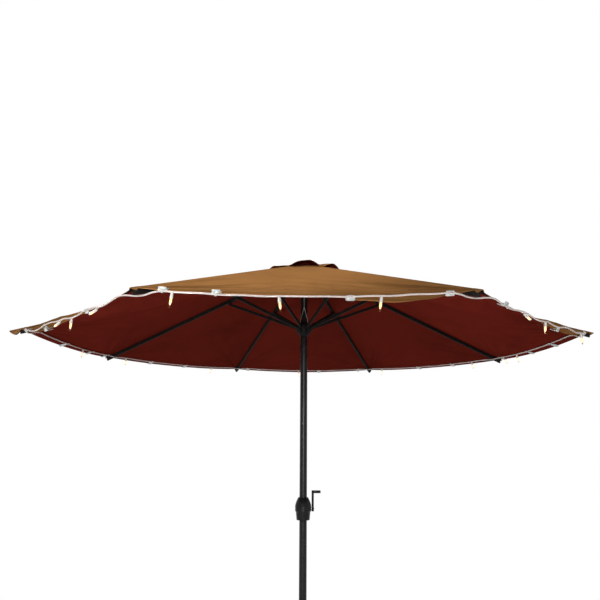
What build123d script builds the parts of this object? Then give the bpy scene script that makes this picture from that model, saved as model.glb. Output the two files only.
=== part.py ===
"""Market parasol with a clip-on string of clear mini lamps round its hem.

Millimetres. Z is up, the origin is the middle of the pole's foot, and the viewer stands on the -Y side.
Everything that a rib carries is drawn in that rib's own frame, with the rib along +X, and then turned to
the rib's azimuth.
"""

import os
from math import atan2, copysign, cos, degrees, hypot, radians, sin, sqrt, tan

from build123d import *

os.makedirs("parts", exist_ok=True)

# Driving sizes of the parasol
RIB_COUNT = 8
STEP = 360 / RIB_COUNT
FIRST_AZIMUTH = STEP / 2
HALF_STEP = radians(STEP / 2)
TIP_RADIUS = 1370.0
RIB_END_INSET = 12.0
RIB_END_RADIUS = TIP_RADIUS - RIB_END_INSET
RIB_FALL = 455.0
HUB_PIVOT_R = 32.0
HUB_PIVOT_Z = 2420.0
RIB_END_Z = HUB_PIVOT_Z - RIB_FALL
CRANK_Z = 1147.0
CLOSED_RIB_ANGLE = 84.5

# Pole
POLE_R = 19.0
POLE_WALL = 1.6
POLE_BORE_R = POLE_R - POLE_WALL
POLE_JOINT_BELOW = 57.0
POLE_JOINT_Z = CRANK_Z - POLE_JOINT_BELOW
JOINT_CHAMFER = 1.2
SPIGOT_LENGTH = 26.0
SPIGOT_GAP = 0.1
POLE_TOP_BELOW = 6.0
POLE_TOP_Z = HUB_PIVOT_Z - POLE_TOP_BELOW
FOOT_PLUG_LENGTH = 18.0

# Clearances
PIN_GAP = 0.05
SLOT_GAP = 0.3
RUNNER_GAP = 0.4
SHAFT_GAP = 0.06
PANEL_GAP = 0.2

# Ribs and struts
RIB_WIDTH = 12.0
RIB_HEIGHT = 20.0
RIB_ROUND = 4.0
TUBE_WALL = 1.2
TONGUE_WIDTH = 8.0
TONGUE_R = 9.0
TONGUE_LENGTH = 44.0
RIB_TUBE_START = 28.0
END_CAP_LENGTH = 7.0
PIN_R = 2.0
JOINT_ALONG = 470.0
JOINT_BELOW = 22.0
BRACKET_LENGTH = 40.0
BRACKET_PLATE = 3.0
EAR_THICKNESS = 2.5
EAR_R = 8.5
RIVET_HEAD_R = 3.6
RIVET_HEAD = 1.5
STRUT_WIDTH = 10.0
STRUT_HEIGHT = 16.0
STRUT_ROUND = 3.0
STRUT_END_R = 8.0
STRUT_FLAT = 40.0
STRUT_TUBE_START = 24.0

# Top hub, cap and lift pulley
HUB_R = 42.0
HUB_BELOW = 16.0
HUB_BOTTOM_Z = HUB_PIVOT_Z - HUB_BELOW
HUB_ABOVE = 7.0
HUB_TOP_Z = HUB_PIVOT_Z + HUB_ABOVE
HUB_SLOT_R = 22.0
HUB_BOSS_R = 16.0
HUB_BOSS = 10.9
HUB_BOSS_TOP_Z = HUB_TOP_Z + HUB_BOSS
HUB_PIN_LENGTH = 17.0
CAP_R = 27.0
CAP_HEIGHT = 9.0
CAP_STEM_R = 5.0
CAP_STEM_LENGTH = 14.0
PULLEY_BELOW = 36.0
PULLEY_Z = HUB_PIVOT_Z - PULLEY_BELOW
PULLEY_OFFSET = 14.0
PULLEY_R = 15.0
PULLEY_GROOVE = 1.6
PULLEY_WIDTH = 7.0
PULLEY_AXLE_R = 2.0
PULLEY_WINDOW_HEIGHT = 44.0
LIFT_CORD_R = 1.5
CORD_LEAVES_BELOW = 12.0

# Runner
RUNNER_PIVOT_R = 40.0
RUNNER_BELOW = 342.0
RUNNER_PIVOT_Z = HUB_PIVOT_Z - RUNNER_BELOW
RUNNER_R = 44.0
RUNNER_FLANGE = 24.0
RUNNER_BARREL_R = 27.0
RUNNER_COLLAR = 18.0
RUNNER_TOP_Z = RUNNER_PIVOT_Z + RUNNER_COLLAR
RUNNER_FOOT_R = 24.0
RUNNER_TAIL = 45.0
RUNNER_BOTTOM_Z = RUNNER_PIVOT_Z - RUNNER_TAIL
RUNNER_SLOT_R = 30.5
RUNNER_SLOT_WIDTH = 11.0
LIFT_LUG_R = 34.0
LIFT_KNOT_ABOVE = 107.0
LIFT_KNOT_Z = RUNNER_PIVOT_Z + LIFT_KNOT_ABOVE

# Crank
HOUSING_BELOW = 51.0
HOUSING_BOTTOM_Z = CRANK_Z - HOUSING_BELOW
HOUSING_ABOVE = 55.0
HOUSING_TOP_Z = CRANK_Z + HOUSING_ABOVE
HOUSING_R = 41.0
HOUSING_WALL = 3.0
COLLAR_TOP_R = 37.0
COLLAR_FOOT_R = 33.5
SHOULDER_R = 25.0
COLLAR_BELOW = 14.0
BARREL_BELOW = 9.0
BARREL_ABOVE = 15.0
CROWN_ABOVE = 32.0
CROWN_IN = 5.0
CAVITY_BELOW = 34.0
CAVITY_ABOVE = 38.0
SHAFT_R = 6.0
SHAFT_INSET = 8.0
SPOOL_R = 12.0
SPOOL_FLANGE_R = 14.2
SPOOL_WIDTH = 16.0
ARM_INNER_X = 43.0
ARM_THICKNESS = 11.0
ARM_WIDTH = 14.0
ARM_HUB_R = 12.0
ARM_LENGTH = 82.0
GRIP_R = 7.0
GRIP_AXLE_R = 4.0
GRIP_END_X = 89.0
GRIP_GAP = 0.05
SCREW_R = 2.0
SCREW_HEAD_R = 3.8
SCREW_HEAD = 3.0
SCREW_BOSS = 1.4
SCREW_LENGTH = 40.0
SCREW_X = 26.5
SCREW_BELOW = 24.0
SCREW_ABOVE = 30.0
SCREW_SPOTS = [(x, CRANK_Z + z) for x in (-SCREW_X, SCREW_X) for z in (-SCREW_BELOW, SCREW_ABOVE)]

# Canopy
CLOTH = 1.4
CLOTH_LIFT = 1.0
HEM_SAG = 20.0
CANOPY_TOP_R = 120.0
VENT_R = 232.0
VENT_INNER_R = 14.0
VENT_SEAT = 1.1
VENT_INNER_Z = HUB_BOSS_TOP_Z + VENT_SEAT
CAP_SEAT = 0.4
CAP_BOTTOM_Z = VENT_INNER_Z + CLOTH + CAP_SEAT
VENT_LIFT = 2.6
VENT_ARCH = 24.0
TOP_EDGE_FALL = 0.15

# Light string
CORD_R = 2.5
CORD_OUT = 7.0
CORD_IN = 40.0
CORD_BEND = 45.0
OUTER_PASS_INSET = 34.0
OUTER_PASS_DROP = 21.0
INNER_PASS_INSET = 70.0
INNER_PASS_DROP = 5.0
CLIP_WIDTH = 28.0
CLIP_DEPTH = 26.0
CLIP_GAP = 2.6
CLIP_PLATE = 1.6
CLIP_ROOM = 0.6
CRADLE_R = 5.2
CRADLE_GAP = 0.7
CRADLE_LENGTH = 6.0
HOLDER_LENGTH = 23.0
HOLDER_TOP_R = 4.4
HOLDER_MOUTH_R = 5.6
HOLDER_GAP = 0.2
BULB_R = 4.0
BULB_LENGTH = 22.0
BULB_SEAT = 9.0

# The string beside one half of the hem: its way out from the hem, and its drop below the hem at even stations
# from the corner to the panel's middle. On five panels it runs inside the hem, close under the cloth.
CALM = (CORD_OUT, [4, 7, 4, 8, 5, 8, 5, 6])
LOOSE = (CORD_OUT, [4, 13, 17, 8, 4, 13, 15, 6])
SLACK = (CORD_OUT, [4, 16, 24, 20, 7, 4, 9, 6])
INNER = (-CORD_IN, [-7, -8, -7, -8, -7, -8, -7, -8])
STATIONS = 8
FIRST_STATION = 75.0
STRING_GAP = 1.3

# Per rib: the run towards the previous rib, the run towards the next one, lamps as (place, lean towards the
# next rib, lean outwards) and clips as places. A place is a share of half a panel's hem, counted from the
# corner, and a minus sign is the previous rib's side.
STRINGS = [
    (INNER, INNER, [(-0.673, -4, 10), (-0.301, -35, 20), (0.332, -13, 0)], [-0.914, -0.172, 0.629]),
    (INNER, INNER, [(-0.28, 8, 0)], [-0.864, 0.175, 0.763]),
    (INNER, INNER, [(-0.935, -5, 0), (0.496, 18, 0)], [-0.172, 0.91]),
    (INNER, INNER, [(-0.204, 0, 0), (0.9, 12, 0)], [-0.572, 0.172, 0.61]),
    (INNER, SLACK, [(0.935, -70, 20)], [-0.753, 0.168, 0.629]),
    (LOOSE, CALM, [(-0.849, 0, 3), (-0.45, -70, 30), (0.231, -8, 0), (0.841, 7, 0)], [-0.629, 0.168, 0.479]),
    (CALM, LOOSE, [(-0.57, -9, 0), (0.593, 65, 15), (0.954, -18, 0)], [-0.746, -0.172, 0.341]),
    (LOOSE, INNER, [(-0.286, 4, 0)], [-0.788, -0.172, 0.572]),
]

# Fold geometry in the plane of one rib
rib_run = RIB_END_RADIUS - HUB_PIVOT_R
rib_fall = HUB_PIVOT_Z - RIB_END_Z
RIB_LENGTH = hypot(rib_run, rib_fall)
OPEN_ANGLE = atan2(rib_fall, rib_run)
FOLD = radians(CLOSED_RIB_ANGLE) - OPEN_ANGLE
ALONG = Vector(cos(OPEN_ANGLE), 0, -sin(OPEN_ANGLE))
NORMAL = Vector(sin(OPEN_ANGLE), 0, cos(OPEN_ANGLE))
HUB_PIVOT = Vector(HUB_PIVOT_R, 0, HUB_PIVOT_Z)
JOINT = HUB_PIVOT + ALONG * JOINT_ALONG - NORMAL * JOINT_BELOW
RUNNER_PIVOT = Vector(RUNNER_PIVOT_R, 0, RUNNER_PIVOT_Z)
STRUT_LENGTH = (RUNNER_PIVOT - JOINT).length
reach = hypot(JOINT.X - HUB_PIVOT_R, HUB_PIVOT_Z - JOINT.Z)
joint_angle = atan2(HUB_PIVOT_Z - JOINT.Z, JOINT.X - HUB_PIVOT_R)
closed_joint_r = HUB_PIVOT_R + reach * cos(joint_angle + FOLD)
closed_joint_z = HUB_PIVOT_Z - reach * sin(joint_angle + FOLD)
inset = closed_joint_r - RUNNER_PIVOT_R
closed_runner_z = closed_joint_z - sqrt(STRUT_LENGTH**2 - inset**2)
TRAVEL = RUNNER_PIVOT_Z - closed_runner_z
open_strut_angle = atan2(JOINT.Z - RUNNER_PIVOT_Z, RUNNER_PIVOT_R - JOINT.X)
closed_strut_angle = atan2(closed_joint_z - closed_runner_z, RUNNER_PIVOT_R - closed_joint_r)
STRUT_TURN = closed_strut_angle - open_strut_angle - FOLD
CRANK_TURN = TRAVEL / (SPOOL_R + LIFT_CORD_R)

# Planes of one rib and its strut: across the section, and from the side
RIB_SECTION = Plane(origin=HUB_PIVOT, x_dir=(0, 1, 0), z_dir=ALONG)
RIB_SIDE = Plane(origin=HUB_PIVOT, x_dir=ALONG, z_dir=(0, -1, 0))
STRUT_DIR = (RUNNER_PIVOT - JOINT).normalized()
STRUT_SECTION = Plane(origin=JOINT, x_dir=(0, 1, 0), z_dir=STRUT_DIR)
STRUT_SIDE = Plane(origin=JOINT, x_dir=STRUT_DIR, z_dir=(0, -1, 0))
CRANK_SECTION = Plane(origin=(0, 0, CRANK_Z), x_dir=(0, 1, 0), z_dir=(1, 0, 0))

# The canopy's straight line over a rib, at its underside
CANOPY_SLOPE = tan(OPEN_ANGLE)
over_rib = (RIB_HEIGHT / 2 + CLOTH_LIFT) / cos(OPEN_ANGLE)
HUB_LINE_Z = HUB_PIVOT_Z + HUB_PIVOT_R * CANOPY_SLOPE + over_rib
HEM_Z = HUB_LINE_Z - TIP_RADIUS * CANOPY_SLOPE
HALF_EDGE = TIP_RADIUS * sin(HALF_STEP)
LAST_STATION = HALF_EDGE - STRING_GAP
STATION_STEP = (LAST_STATION - FIRST_STATION) / (STATIONS - 1)


def write(part, name):
    part.label = name
    export_step(part, f"parts/{name}.step")


def turned(part, azimuth):
    return part.rotate(Axis.Z, azimuth)


def hem_frame(side):
    """Direction along the hem away from the corner, and the horizontal direction out of it."""
    along = Vector(-sin(HALF_STEP), side * cos(HALF_STEP), 0)
    out = Vector(cos(HALF_STEP), side * sin(HALF_STEP), 0)
    return along, out


def hem_point(distance, out_by=0.0, drop=0.0):
    """A point beside the hem, from its signed distance to the corner, its way out and its drop."""
    side = 1 if distance > 0 else -1
    along, out = hem_frame(side)
    share = abs(distance) / (2 * HALF_EDGE)
    sag = HEM_SAG * 4 * share * (1 - share)
    corner = Vector(TIP_RADIUS, 0, HEM_Z)
    return corner + along * abs(distance) + out * out_by - Vector(0, 0, sag + drop)


def ruling(distance):
    """The cloth's straight way up from a point of the hem to the canopy's upper edge."""
    along = hem_frame(1 if distance > 0 else -1)[0]
    top_corner = Vector(CANOPY_TOP_R, 0, HUB_LINE_Z - CANOPY_TOP_R * CANOPY_SLOPE)
    top = top_corner + along * (abs(distance) * CANOPY_TOP_R / TIP_RADIUS)
    return (top - hem_point(distance)).normalized()


def run_points(run):
    """A run's stations as (distance from the corner, drop below the hem)."""
    return [(FIRST_STATION + STATION_STEP * n, drop) for n, drop in enumerate(run[1])]


def drop_at(run, distance):
    """The string's drop below the hem on its run between two stations."""
    stations = run_points(run)
    for (a, first), (b, second) in zip(stations, stations[1:]):
        if a <= distance <= b:
            return first + (second - first) * (distance - a) / (b - a)
    return run[1][0]


def cloth_half(side, outer, inner, sag):
    """Half a panel beside a rib: straight from its upper edge to its lower edge, which hangs or arches."""
    along = hem_frame(side)[0]
    across = Vector(along.Y, -along.X, 0)
    with BuildPart() as half:
        for (radius, height), fall in ((outer, sag), (inner, copysign(TOP_EDGE_FALL, sag))):
            length = radius * sin(HALF_STEP) - PANEL_GAP
            with BuildSketch(Plane(origin=(radius, 0, height), x_dir=along, z_dir=across)):
                with BuildLine():
                    ThreePointArc((0, 0), (length / 2, -0.75 * fall), (length, -fall))
                    Line((length, -fall), (length, CLOTH - fall))
                    ThreePointArc((length, CLOTH - fall), (length / 2, CLOTH - 0.75 * fall), (0, CLOTH))
                    Line((0, CLOTH), (0, 0))
                make_face()
        loft(ruled=True)
    return half.part


# The pole: lower tube with a spigot, upper tube with a window for the pulley, plug in the foot
with BuildPart() as lower_pole:
    with BuildSketch(Plane.XY):
        Circle(POLE_R)
    extrude(amount=POLE_JOINT_Z)
    chamfer(lower_pole.edges().group_by(Axis.Z)[-1], JOINT_CHAMFER)
    with BuildSketch(Plane.XY.offset(POLE_JOINT_Z)):
        Circle(POLE_BORE_R - SPIGOT_GAP)
    extrude(amount=SPIGOT_LENGTH)
    with BuildSketch(Plane.XY):
        Circle(POLE_BORE_R)
    extrude(amount=POLE_JOINT_Z - 2 * POLE_WALL, mode=Mode.SUBTRACT)
    with BuildSketch(Plane.XY):
        Circle(POLE_BORE_R - SPIGOT_GAP - POLE_WALL)
    extrude(amount=POLE_JOINT_Z + SPIGOT_LENGTH, mode=Mode.SUBTRACT)

with BuildPart() as foot_plug:
    with BuildSketch(Plane.XY):
        Circle(POLE_BORE_R)
    extrude(amount=FOOT_PLUG_LENGTH)
    fillet(foot_plug.edges().group_by(Axis.Z)[-1], 1.5)

with BuildPart() as upper_pole:
    with BuildSketch(Plane.XY.offset(POLE_JOINT_Z)):
        Circle(POLE_R)
    extrude(amount=POLE_TOP_Z - POLE_JOINT_Z)
    chamfer(upper_pole.edges().group_by(Axis.Z)[0], JOINT_CHAMFER)
    with BuildSketch(Plane.XY.offset(POLE_JOINT_Z)):
        Circle(POLE_BORE_R)
    extrude(amount=POLE_TOP_Z - POLE_JOINT_Z, mode=Mode.SUBTRACT)
    with BuildSketch(Plane.XZ):
        with Locations((0, PULLEY_Z)):
            SlotOverall(PULLEY_WINDOW_HEIGHT, PULLEY_WIDTH + 2, rotation=90)
    extrude(amount=POLE_R + 1, mode=Mode.SUBTRACT)
    with BuildSketch(Plane.YZ):
        with Locations((-PULLEY_OFFSET, PULLEY_Z)):
            Circle(PULLEY_AXLE_R)
    extrude(amount=POLE_R, both=True, mode=Mode.SUBTRACT)
    with BuildSketch(CRANK_SECTION):
        Circle(SHAFT_R + SHAFT_GAP)
    extrude(amount=POLE_R + 1, both=True, mode=Mode.SUBTRACT)


def housing_half(screw_depth):
    """Half of the crank housing, on the +Y side: barrel round the pole, screw posts, bearing of the shaft."""
    with BuildPart() as half:
        with BuildSketch(Plane.XZ):
            with BuildLine():
                Polyline(
                    (POLE_R, HOUSING_BOTTOM_Z),
                    (COLLAR_FOOT_R, HOUSING_BOTTOM_Z),
                    (COLLAR_TOP_R, CRANK_Z - COLLAR_BELOW),
                    (HOUSING_R, CRANK_Z - BARREL_BELOW),
                    (HOUSING_R, CRANK_Z + BARREL_ABOVE),
                )
                ThreePointArc(
                    (HOUSING_R, CRANK_Z + BARREL_ABOVE),
                    (HOUSING_R - CROWN_IN, CRANK_Z + CROWN_ABOVE),
                    (SHOULDER_R, HOUSING_TOP_Z),
                )
                Polyline(
                    (SHOULDER_R, HOUSING_TOP_Z),
                    (POLE_R, HOUSING_TOP_Z),
                    (POLE_R, HOUSING_BOTTOM_Z),
                )
            make_face()
        revolve(axis=Axis.Z, revolution_arc=180)
        with BuildSketch(Plane.XZ):
            with BuildLine():
                Polyline(
                    (POLE_R, CRANK_Z - CAVITY_BELOW),
                    (COLLAR_FOOT_R - HOUSING_WALL, CRANK_Z - CAVITY_BELOW),
                    (HOUSING_R - HOUSING_WALL, CRANK_Z - BARREL_BELOW + HOUSING_WALL),
                    (HOUSING_R - HOUSING_WALL, CRANK_Z + BARREL_ABOVE - 1),
                    (SHOULDER_R + 2, CRANK_Z + CAVITY_ABOVE),
                    (POLE_R, CRANK_Z + CAVITY_ABOVE),
                    close=True,
                )
            make_face()
        revolve(axis=Axis.Z, revolution_arc=180, mode=Mode.SUBTRACT)
        with BuildSketch(Plane.XZ):
            with Locations(*SCREW_SPOTS):
                Circle(SCREW_HEAD_R + SCREW_BOSS)
        extrude(amount=-SCREW_LENGTH / 2)
        with BuildSketch(Plane.XZ):
            with Locations(*SCREW_SPOTS):
                Circle(SCREW_R)
        extrude(amount=-screw_depth, mode=Mode.SUBTRACT)
        with BuildSketch(CRANK_SECTION):
            Circle(SHAFT_R + SHAFT_GAP)
        extrude(amount=HOUSING_R + 1, both=True, mode=Mode.SUBTRACT)
    return half.part


# Crank housing: the rear half takes the screw heads, the front half their threads
SCREW_SEAT = SCREW_LENGTH / 2 - SCREW_HEAD
with BuildPart() as housing_rear:
    add(housing_half(SCREW_SEAT))
    with BuildSketch(Plane.XZ.offset(-SCREW_SEAT)):
        with Locations(*SCREW_SPOTS):
            Circle(SCREW_HEAD_R)
    extrude(amount=-HOUSING_R, mode=Mode.SUBTRACT)

with BuildPart() as housing_front:
    add(turned(housing_half(SCREW_SEAT), 180))

with BuildPart() as housing_screws:
    with BuildSketch(Plane.XZ.offset(SCREW_SEAT)):
        with Locations(*SCREW_SPOTS):
            Circle(SCREW_R)
    extrude(amount=-2 * SCREW_SEAT)
    with BuildSketch(Plane.XZ.offset(-SCREW_SEAT)):
        with Locations(*SCREW_SPOTS):
            Circle(SCREW_HEAD_R)
    extrude(amount=-SCREW_HEAD)

# The crank: shaft through the pole, spool, arm, and a grip that turns on the arm's end
SHAFT_START_X = -HOUSING_R + HOUSING_WALL + SHAFT_INSET
ARM_OUTER_X = ARM_INNER_X + ARM_THICKNESS
with BuildPart() as crank_shaft:
    with BuildSketch(CRANK_SECTION.offset(SHAFT_START_X)):
        Circle(SHAFT_R)
    extrude(amount=ARM_OUTER_X + 2 - SHAFT_START_X)
    chamfer(crank_shaft.edges().group_by(Axis.X)[-1], 1)

with BuildPart() as crank_spool:
    with BuildSketch(CRANK_SECTION.offset(-SPOOL_WIDTH / 2)):
        Circle(SPOOL_FLANGE_R)
    extrude(amount=SPOOL_WIDTH)
    with BuildSketch(CRANK_SECTION.offset(2 - SPOOL_WIDTH / 2)):
        Circle(SPOOL_FLANGE_R)
        Circle(SPOOL_R, mode=Mode.SUBTRACT)
    extrude(amount=SPOOL_WIDTH - 4, mode=Mode.SUBTRACT)
    with BuildSketch(CRANK_SECTION.offset(-SPOOL_WIDTH / 2)):
        Circle(SHAFT_R)
    extrude(amount=SPOOL_WIDTH, mode=Mode.SUBTRACT)

with BuildPart() as crank_arm:
    with BuildSketch(CRANK_SECTION.offset(ARM_INNER_X)):
        Circle(ARM_HUB_R)
        with Locations((0, ARM_LENGTH)):
            Circle(ARM_WIDTH / 2)
        with Locations((0, ARM_LENGTH / 2)):
            Rectangle(ARM_WIDTH, ARM_LENGTH)
        Circle(SHAFT_R, mode=Mode.SUBTRACT)
    extrude(amount=ARM_THICKNESS)
    with BuildSketch(CRANK_SECTION.offset(ARM_OUTER_X)):
        with Locations((0, ARM_LENGTH)):
            Circle(GRIP_AXLE_R)
    extrude(amount=GRIP_END_X - ARM_OUTER_X - 4)

with BuildPart() as crank_grip:
    with BuildSketch(CRANK_SECTION.offset(ARM_OUTER_X + SLOT_GAP)):
        with Locations((0, ARM_LENGTH)):
            Circle(GRIP_R)
    extrude(amount=GRIP_END_X - ARM_OUTER_X - SLOT_GAP)
    fillet(crank_grip.edges().group_by(Axis.X)[-1], 3)
    with BuildSketch(CRANK_SECTION.offset(ARM_OUTER_X + SLOT_GAP)):
        with Locations((0, ARM_LENGTH)):
            Circle(GRIP_AXLE_R + GRIP_GAP)
    extrude(amount=GRIP_END_X - ARM_OUTER_X - 4, mode=Mode.SUBTRACT)

# Top hub with a slot and a pin for each rib, and the low cap that holds the vent down
SLOT_LENGTH = 2 * HUB_R
with BuildPart() as top_hub:
    with BuildSketch(Plane.XY.offset(HUB_BOTTOM_Z)):
        Circle(HUB_R)
    extrude(amount=HUB_TOP_Z - HUB_BOTTOM_Z)
    fillet(top_hub.edges().filter_by(GeomType.CIRCLE), 2)
    with BuildSketch(Plane.XY.offset(HUB_TOP_Z)):
        Circle(HUB_BOSS_R)
    extrude(amount=HUB_BOSS_TOP_Z - HUB_TOP_Z)
    with BuildSketch(Plane.XY.offset(HUB_BOTTOM_Z)):
        Circle(POLE_R)
    extrude(amount=POLE_TOP_Z - HUB_BOTTOM_Z, mode=Mode.SUBTRACT)
    with BuildSketch(Plane.XY.offset(CAP_BOTTOM_Z - CAP_STEM_LENGTH)):
        Circle(CAP_STEM_R)
    extrude(amount=CAP_STEM_LENGTH, mode=Mode.SUBTRACT)
    with BuildSketch(Plane.XY.offset(HUB_BOTTOM_Z)):
        with PolarLocations(HUB_SLOT_R + SLOT_LENGTH / 2, RIB_COUNT, FIRST_AZIMUTH):
            Rectangle(SLOT_LENGTH, TONGUE_WIDTH + 2 * SLOT_GAP)
    extrude(amount=HUB_TOP_Z - HUB_BOTTOM_Z, mode=Mode.SUBTRACT)
    with PolarLocations(HUB_PIVOT_R, RIB_COUNT, FIRST_AZIMUTH):
        with Locations((0, 0, HUB_PIVOT_Z)):
            Cylinder(PIN_R, HUB_PIN_LENGTH, rotation=(90, 0, 0), mode=Mode.SUBTRACT)

with BuildPart() as rib_pins:
    with PolarLocations(HUB_PIVOT_R, RIB_COUNT, FIRST_AZIMUTH):
        with Locations((0, 0, HUB_PIVOT_Z)):
            Cylinder(PIN_R, HUB_PIN_LENGTH, rotation=(90, 0, 0))

with BuildPart() as top_cap:
    with BuildSketch(Plane.XY.offset(CAP_BOTTOM_Z)):
        Circle(CAP_R)
    extrude(amount=CAP_HEIGHT)
    fillet(top_cap.edges().group_by(Axis.Z)[-1], CAP_HEIGHT - 3)
    with BuildSketch(Plane.XY.offset(CAP_BOTTOM_Z)):
        Circle(CAP_STEM_R)
    extrude(amount=-CAP_STEM_LENGTH)

# Lift pulley in the pole's window, its axle, and the lift cord in two stretches
PULLEY_AXIS = Axis((0, -PULLEY_OFFSET, PULLEY_Z), (1, 0, 0))
PULLEY_SECTION = Plane(origin=PULLEY_AXIS.position, x_dir=(0, 1, 0), z_dir=(1, 0, 0))
with BuildPart() as lift_pulley:
    with BuildSketch(PULLEY_SECTION.offset(-PULLEY_WIDTH / 2)):
        Circle(PULLEY_R)
        Circle(PULLEY_AXLE_R + PIN_GAP, mode=Mode.SUBTRACT)
    extrude(amount=PULLEY_WIDTH)
    with BuildSketch(Plane(origin=PULLEY_AXIS.position, x_dir=(1, 0, 0), z_dir=(0, -1, 0))):
        with Locations((0, PULLEY_OFFSET)):
            Circle(PULLEY_GROOVE + SLOT_GAP)
        with Locations((0, PULLEY_OFFSET + PULLEY_R / 2)):
            Rectangle(2 * PULLEY_GROOVE + 2 * SLOT_GAP, PULLEY_R)
    revolve(axis=PULLEY_AXIS, mode=Mode.SUBTRACT)

with BuildPart() as pulley_axle:
    with BuildSketch(PULLEY_SECTION):
        Circle(PULLEY_AXLE_R)
    extrude(amount=POLE_R * 0.65, both=True)

spool_tangent = Vector(0, SPOOL_R + LIFT_CORD_R + SLOT_GAP, CRANK_Z)
pulley_inside = Vector(0, 0, PULLEY_Z)
pulley_outside = Vector(0, -2 * PULLEY_OFFSET, PULLEY_Z)
CORD_LEAVES_Z = PULLEY_Z - CORD_LEAVES_BELOW
up_pole = pulley_inside - spool_tangent
with BuildPart() as lift_cord_inner:
    with BuildSketch(Plane(origin=spool_tangent, z_dir=up_pole)):
        Circle(LIFT_CORD_R)
    extrude(amount=up_pole.length)
    with BuildLine() as over_pulley:
        ThreePointArc(pulley_inside, (0, -PULLEY_OFFSET, PULLEY_Z + PULLEY_OFFSET), pulley_outside)
        Line(pulley_outside, (0, -2 * PULLEY_OFFSET, CORD_LEAVES_Z))
    with BuildSketch(Plane(origin=pulley_inside, z_dir=(0, 0, 1))):
        Circle(LIFT_CORD_R)
    sweep(path=over_pulley.line)

FLANGE_TOP_Z = RUNNER_PIVOT_Z + RUNNER_FLANGE / 2
knot = Vector(0, -2 * PULLEY_OFFSET, LIFT_KNOT_Z)
lug = LIFT_LUG_R * sin(radians(STEP))
with BuildPart() as lift_cord:
    with BuildSketch(Plane.XY.offset(CORD_LEAVES_Z - SLOT_GAP)):
        with Locations((0, -2 * PULLEY_OFFSET)):
            Circle(LIFT_CORD_R)
    extrude(amount=LIFT_KNOT_Z - CORD_LEAVES_Z)
    with Locations(knot):
        Sphere(2.2 * LIFT_CORD_R)
    for side in (-1, 1):
        leg = Vector(side * lug, -lug, FLANGE_TOP_Z + 2 * LIFT_CORD_R) - knot
        with BuildSketch(Plane(origin=knot, z_dir=leg)):
            Circle(LIFT_CORD_R)
        extrude(amount=leg.length)
        with BuildSketch(Plane.XY.offset(FLANGE_TOP_Z)):
            with Locations((side * lug, -lug)):
                Circle(2 * LIFT_CORD_R)
        extrude(amount=4 * LIFT_CORD_R)

with BuildPart() as runner:
    with BuildSketch(Plane.XZ):
        with BuildLine():
            Polyline(
                (POLE_R + RUNNER_GAP, RUNNER_BOTTOM_Z),
                (RUNNER_FOOT_R, RUNNER_BOTTOM_Z),
                (RUNNER_R, RUNNER_PIVOT_Z - RUNNER_FLANGE / 2),
                (RUNNER_R, FLANGE_TOP_Z),
                (RUNNER_BARREL_R, FLANGE_TOP_Z),
                (RUNNER_BARREL_R, RUNNER_TOP_Z),
                (POLE_R + RUNNER_GAP, RUNNER_TOP_Z),
                close=True,
            )
        make_face()
    revolve(axis=Axis.Z)
    with BuildSketch(Plane.XY.offset(RUNNER_BOTTOM_Z)):
        with PolarLocations(RUNNER_SLOT_R + RUNNER_R / 2, RIB_COUNT, FIRST_AZIMUTH):
            Rectangle(RUNNER_R, RUNNER_SLOT_WIDTH)
    extrude(amount=RUNNER_TOP_Z - RUNNER_BOTTOM_Z, mode=Mode.SUBTRACT)

# One rib: pressed tongue and tube, strut bracket, its pin, and the end cap
with BuildPart() as rib_tube:
    with BuildSketch(RIB_SECTION.offset(RIB_TUBE_START)):
        RectangleRounded(RIB_WIDTH, RIB_HEIGHT, RIB_ROUND)
        RectangleRounded(
            RIB_WIDTH - 2 * TUBE_WALL,
            RIB_HEIGHT - 2 * TUBE_WALL,
            RIB_ROUND - TUBE_WALL,
            mode=Mode.SUBTRACT,
        )
    extrude(amount=RIB_LENGTH - RIB_TUBE_START)
    with BuildSketch(RIB_SIDE):
        Circle(TONGUE_R)
        with Locations((TONGUE_LENGTH / 2, 0)):
            Rectangle(TONGUE_LENGTH, RIB_HEIGHT - 2 * TUBE_WALL)
        Circle(PIN_R + PIN_GAP, mode=Mode.SUBTRACT)
    extrude(amount=TONGUE_WIDTH / 2, both=True)

EAR_INNER = TONGUE_WIDTH / 2 + SLOT_GAP
BRACKET_WIDTH = 2 * (EAR_INNER + EAR_THICKNESS)
with BuildPart() as bracket:
    with BuildSketch(RIB_SIDE):
        with Locations((JOINT_ALONG, -RIB_HEIGHT / 2 - BRACKET_PLATE / 2)):
            Rectangle(BRACKET_LENGTH, BRACKET_PLATE)
        with Locations((JOINT_ALONG, -JOINT_BELOW)):
            Circle(EAR_R)
        with Locations((JOINT_ALONG, -RIB_HEIGHT / 4 - JOINT_BELOW / 2)):
            Rectangle(2 * EAR_R, JOINT_BELOW - RIB_HEIGHT / 2)
        with Locations((JOINT_ALONG, -JOINT_BELOW)):
            Circle(PIN_R, mode=Mode.SUBTRACT)
    extrude(amount=BRACKET_WIDTH / 2, both=True)
    with BuildSketch(RIB_SIDE):
        with Locations((JOINT_ALONG, -RIB_HEIGHT / 2 - BRACKET_PLATE - JOINT_BELOW)):
            Rectangle(2 * BRACKET_LENGTH, 2 * JOINT_BELOW)
    extrude(amount=EAR_INNER, both=True, mode=Mode.SUBTRACT)

with BuildPart() as joint_pin:
    with BuildSketch(RIB_SIDE):
        with Locations((JOINT_ALONG, -JOINT_BELOW)):
            Circle(PIN_R)
    extrude(amount=BRACKET_WIDTH / 2, both=True)
    for side in (-1, 1):
        with BuildSketch(RIB_SIDE.offset(side * BRACKET_WIDTH / 2)):
            with Locations((JOINT_ALONG, -JOINT_BELOW)):
                Circle(RIVET_HEAD_R)
        extrude(amount=side * RIVET_HEAD)

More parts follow.
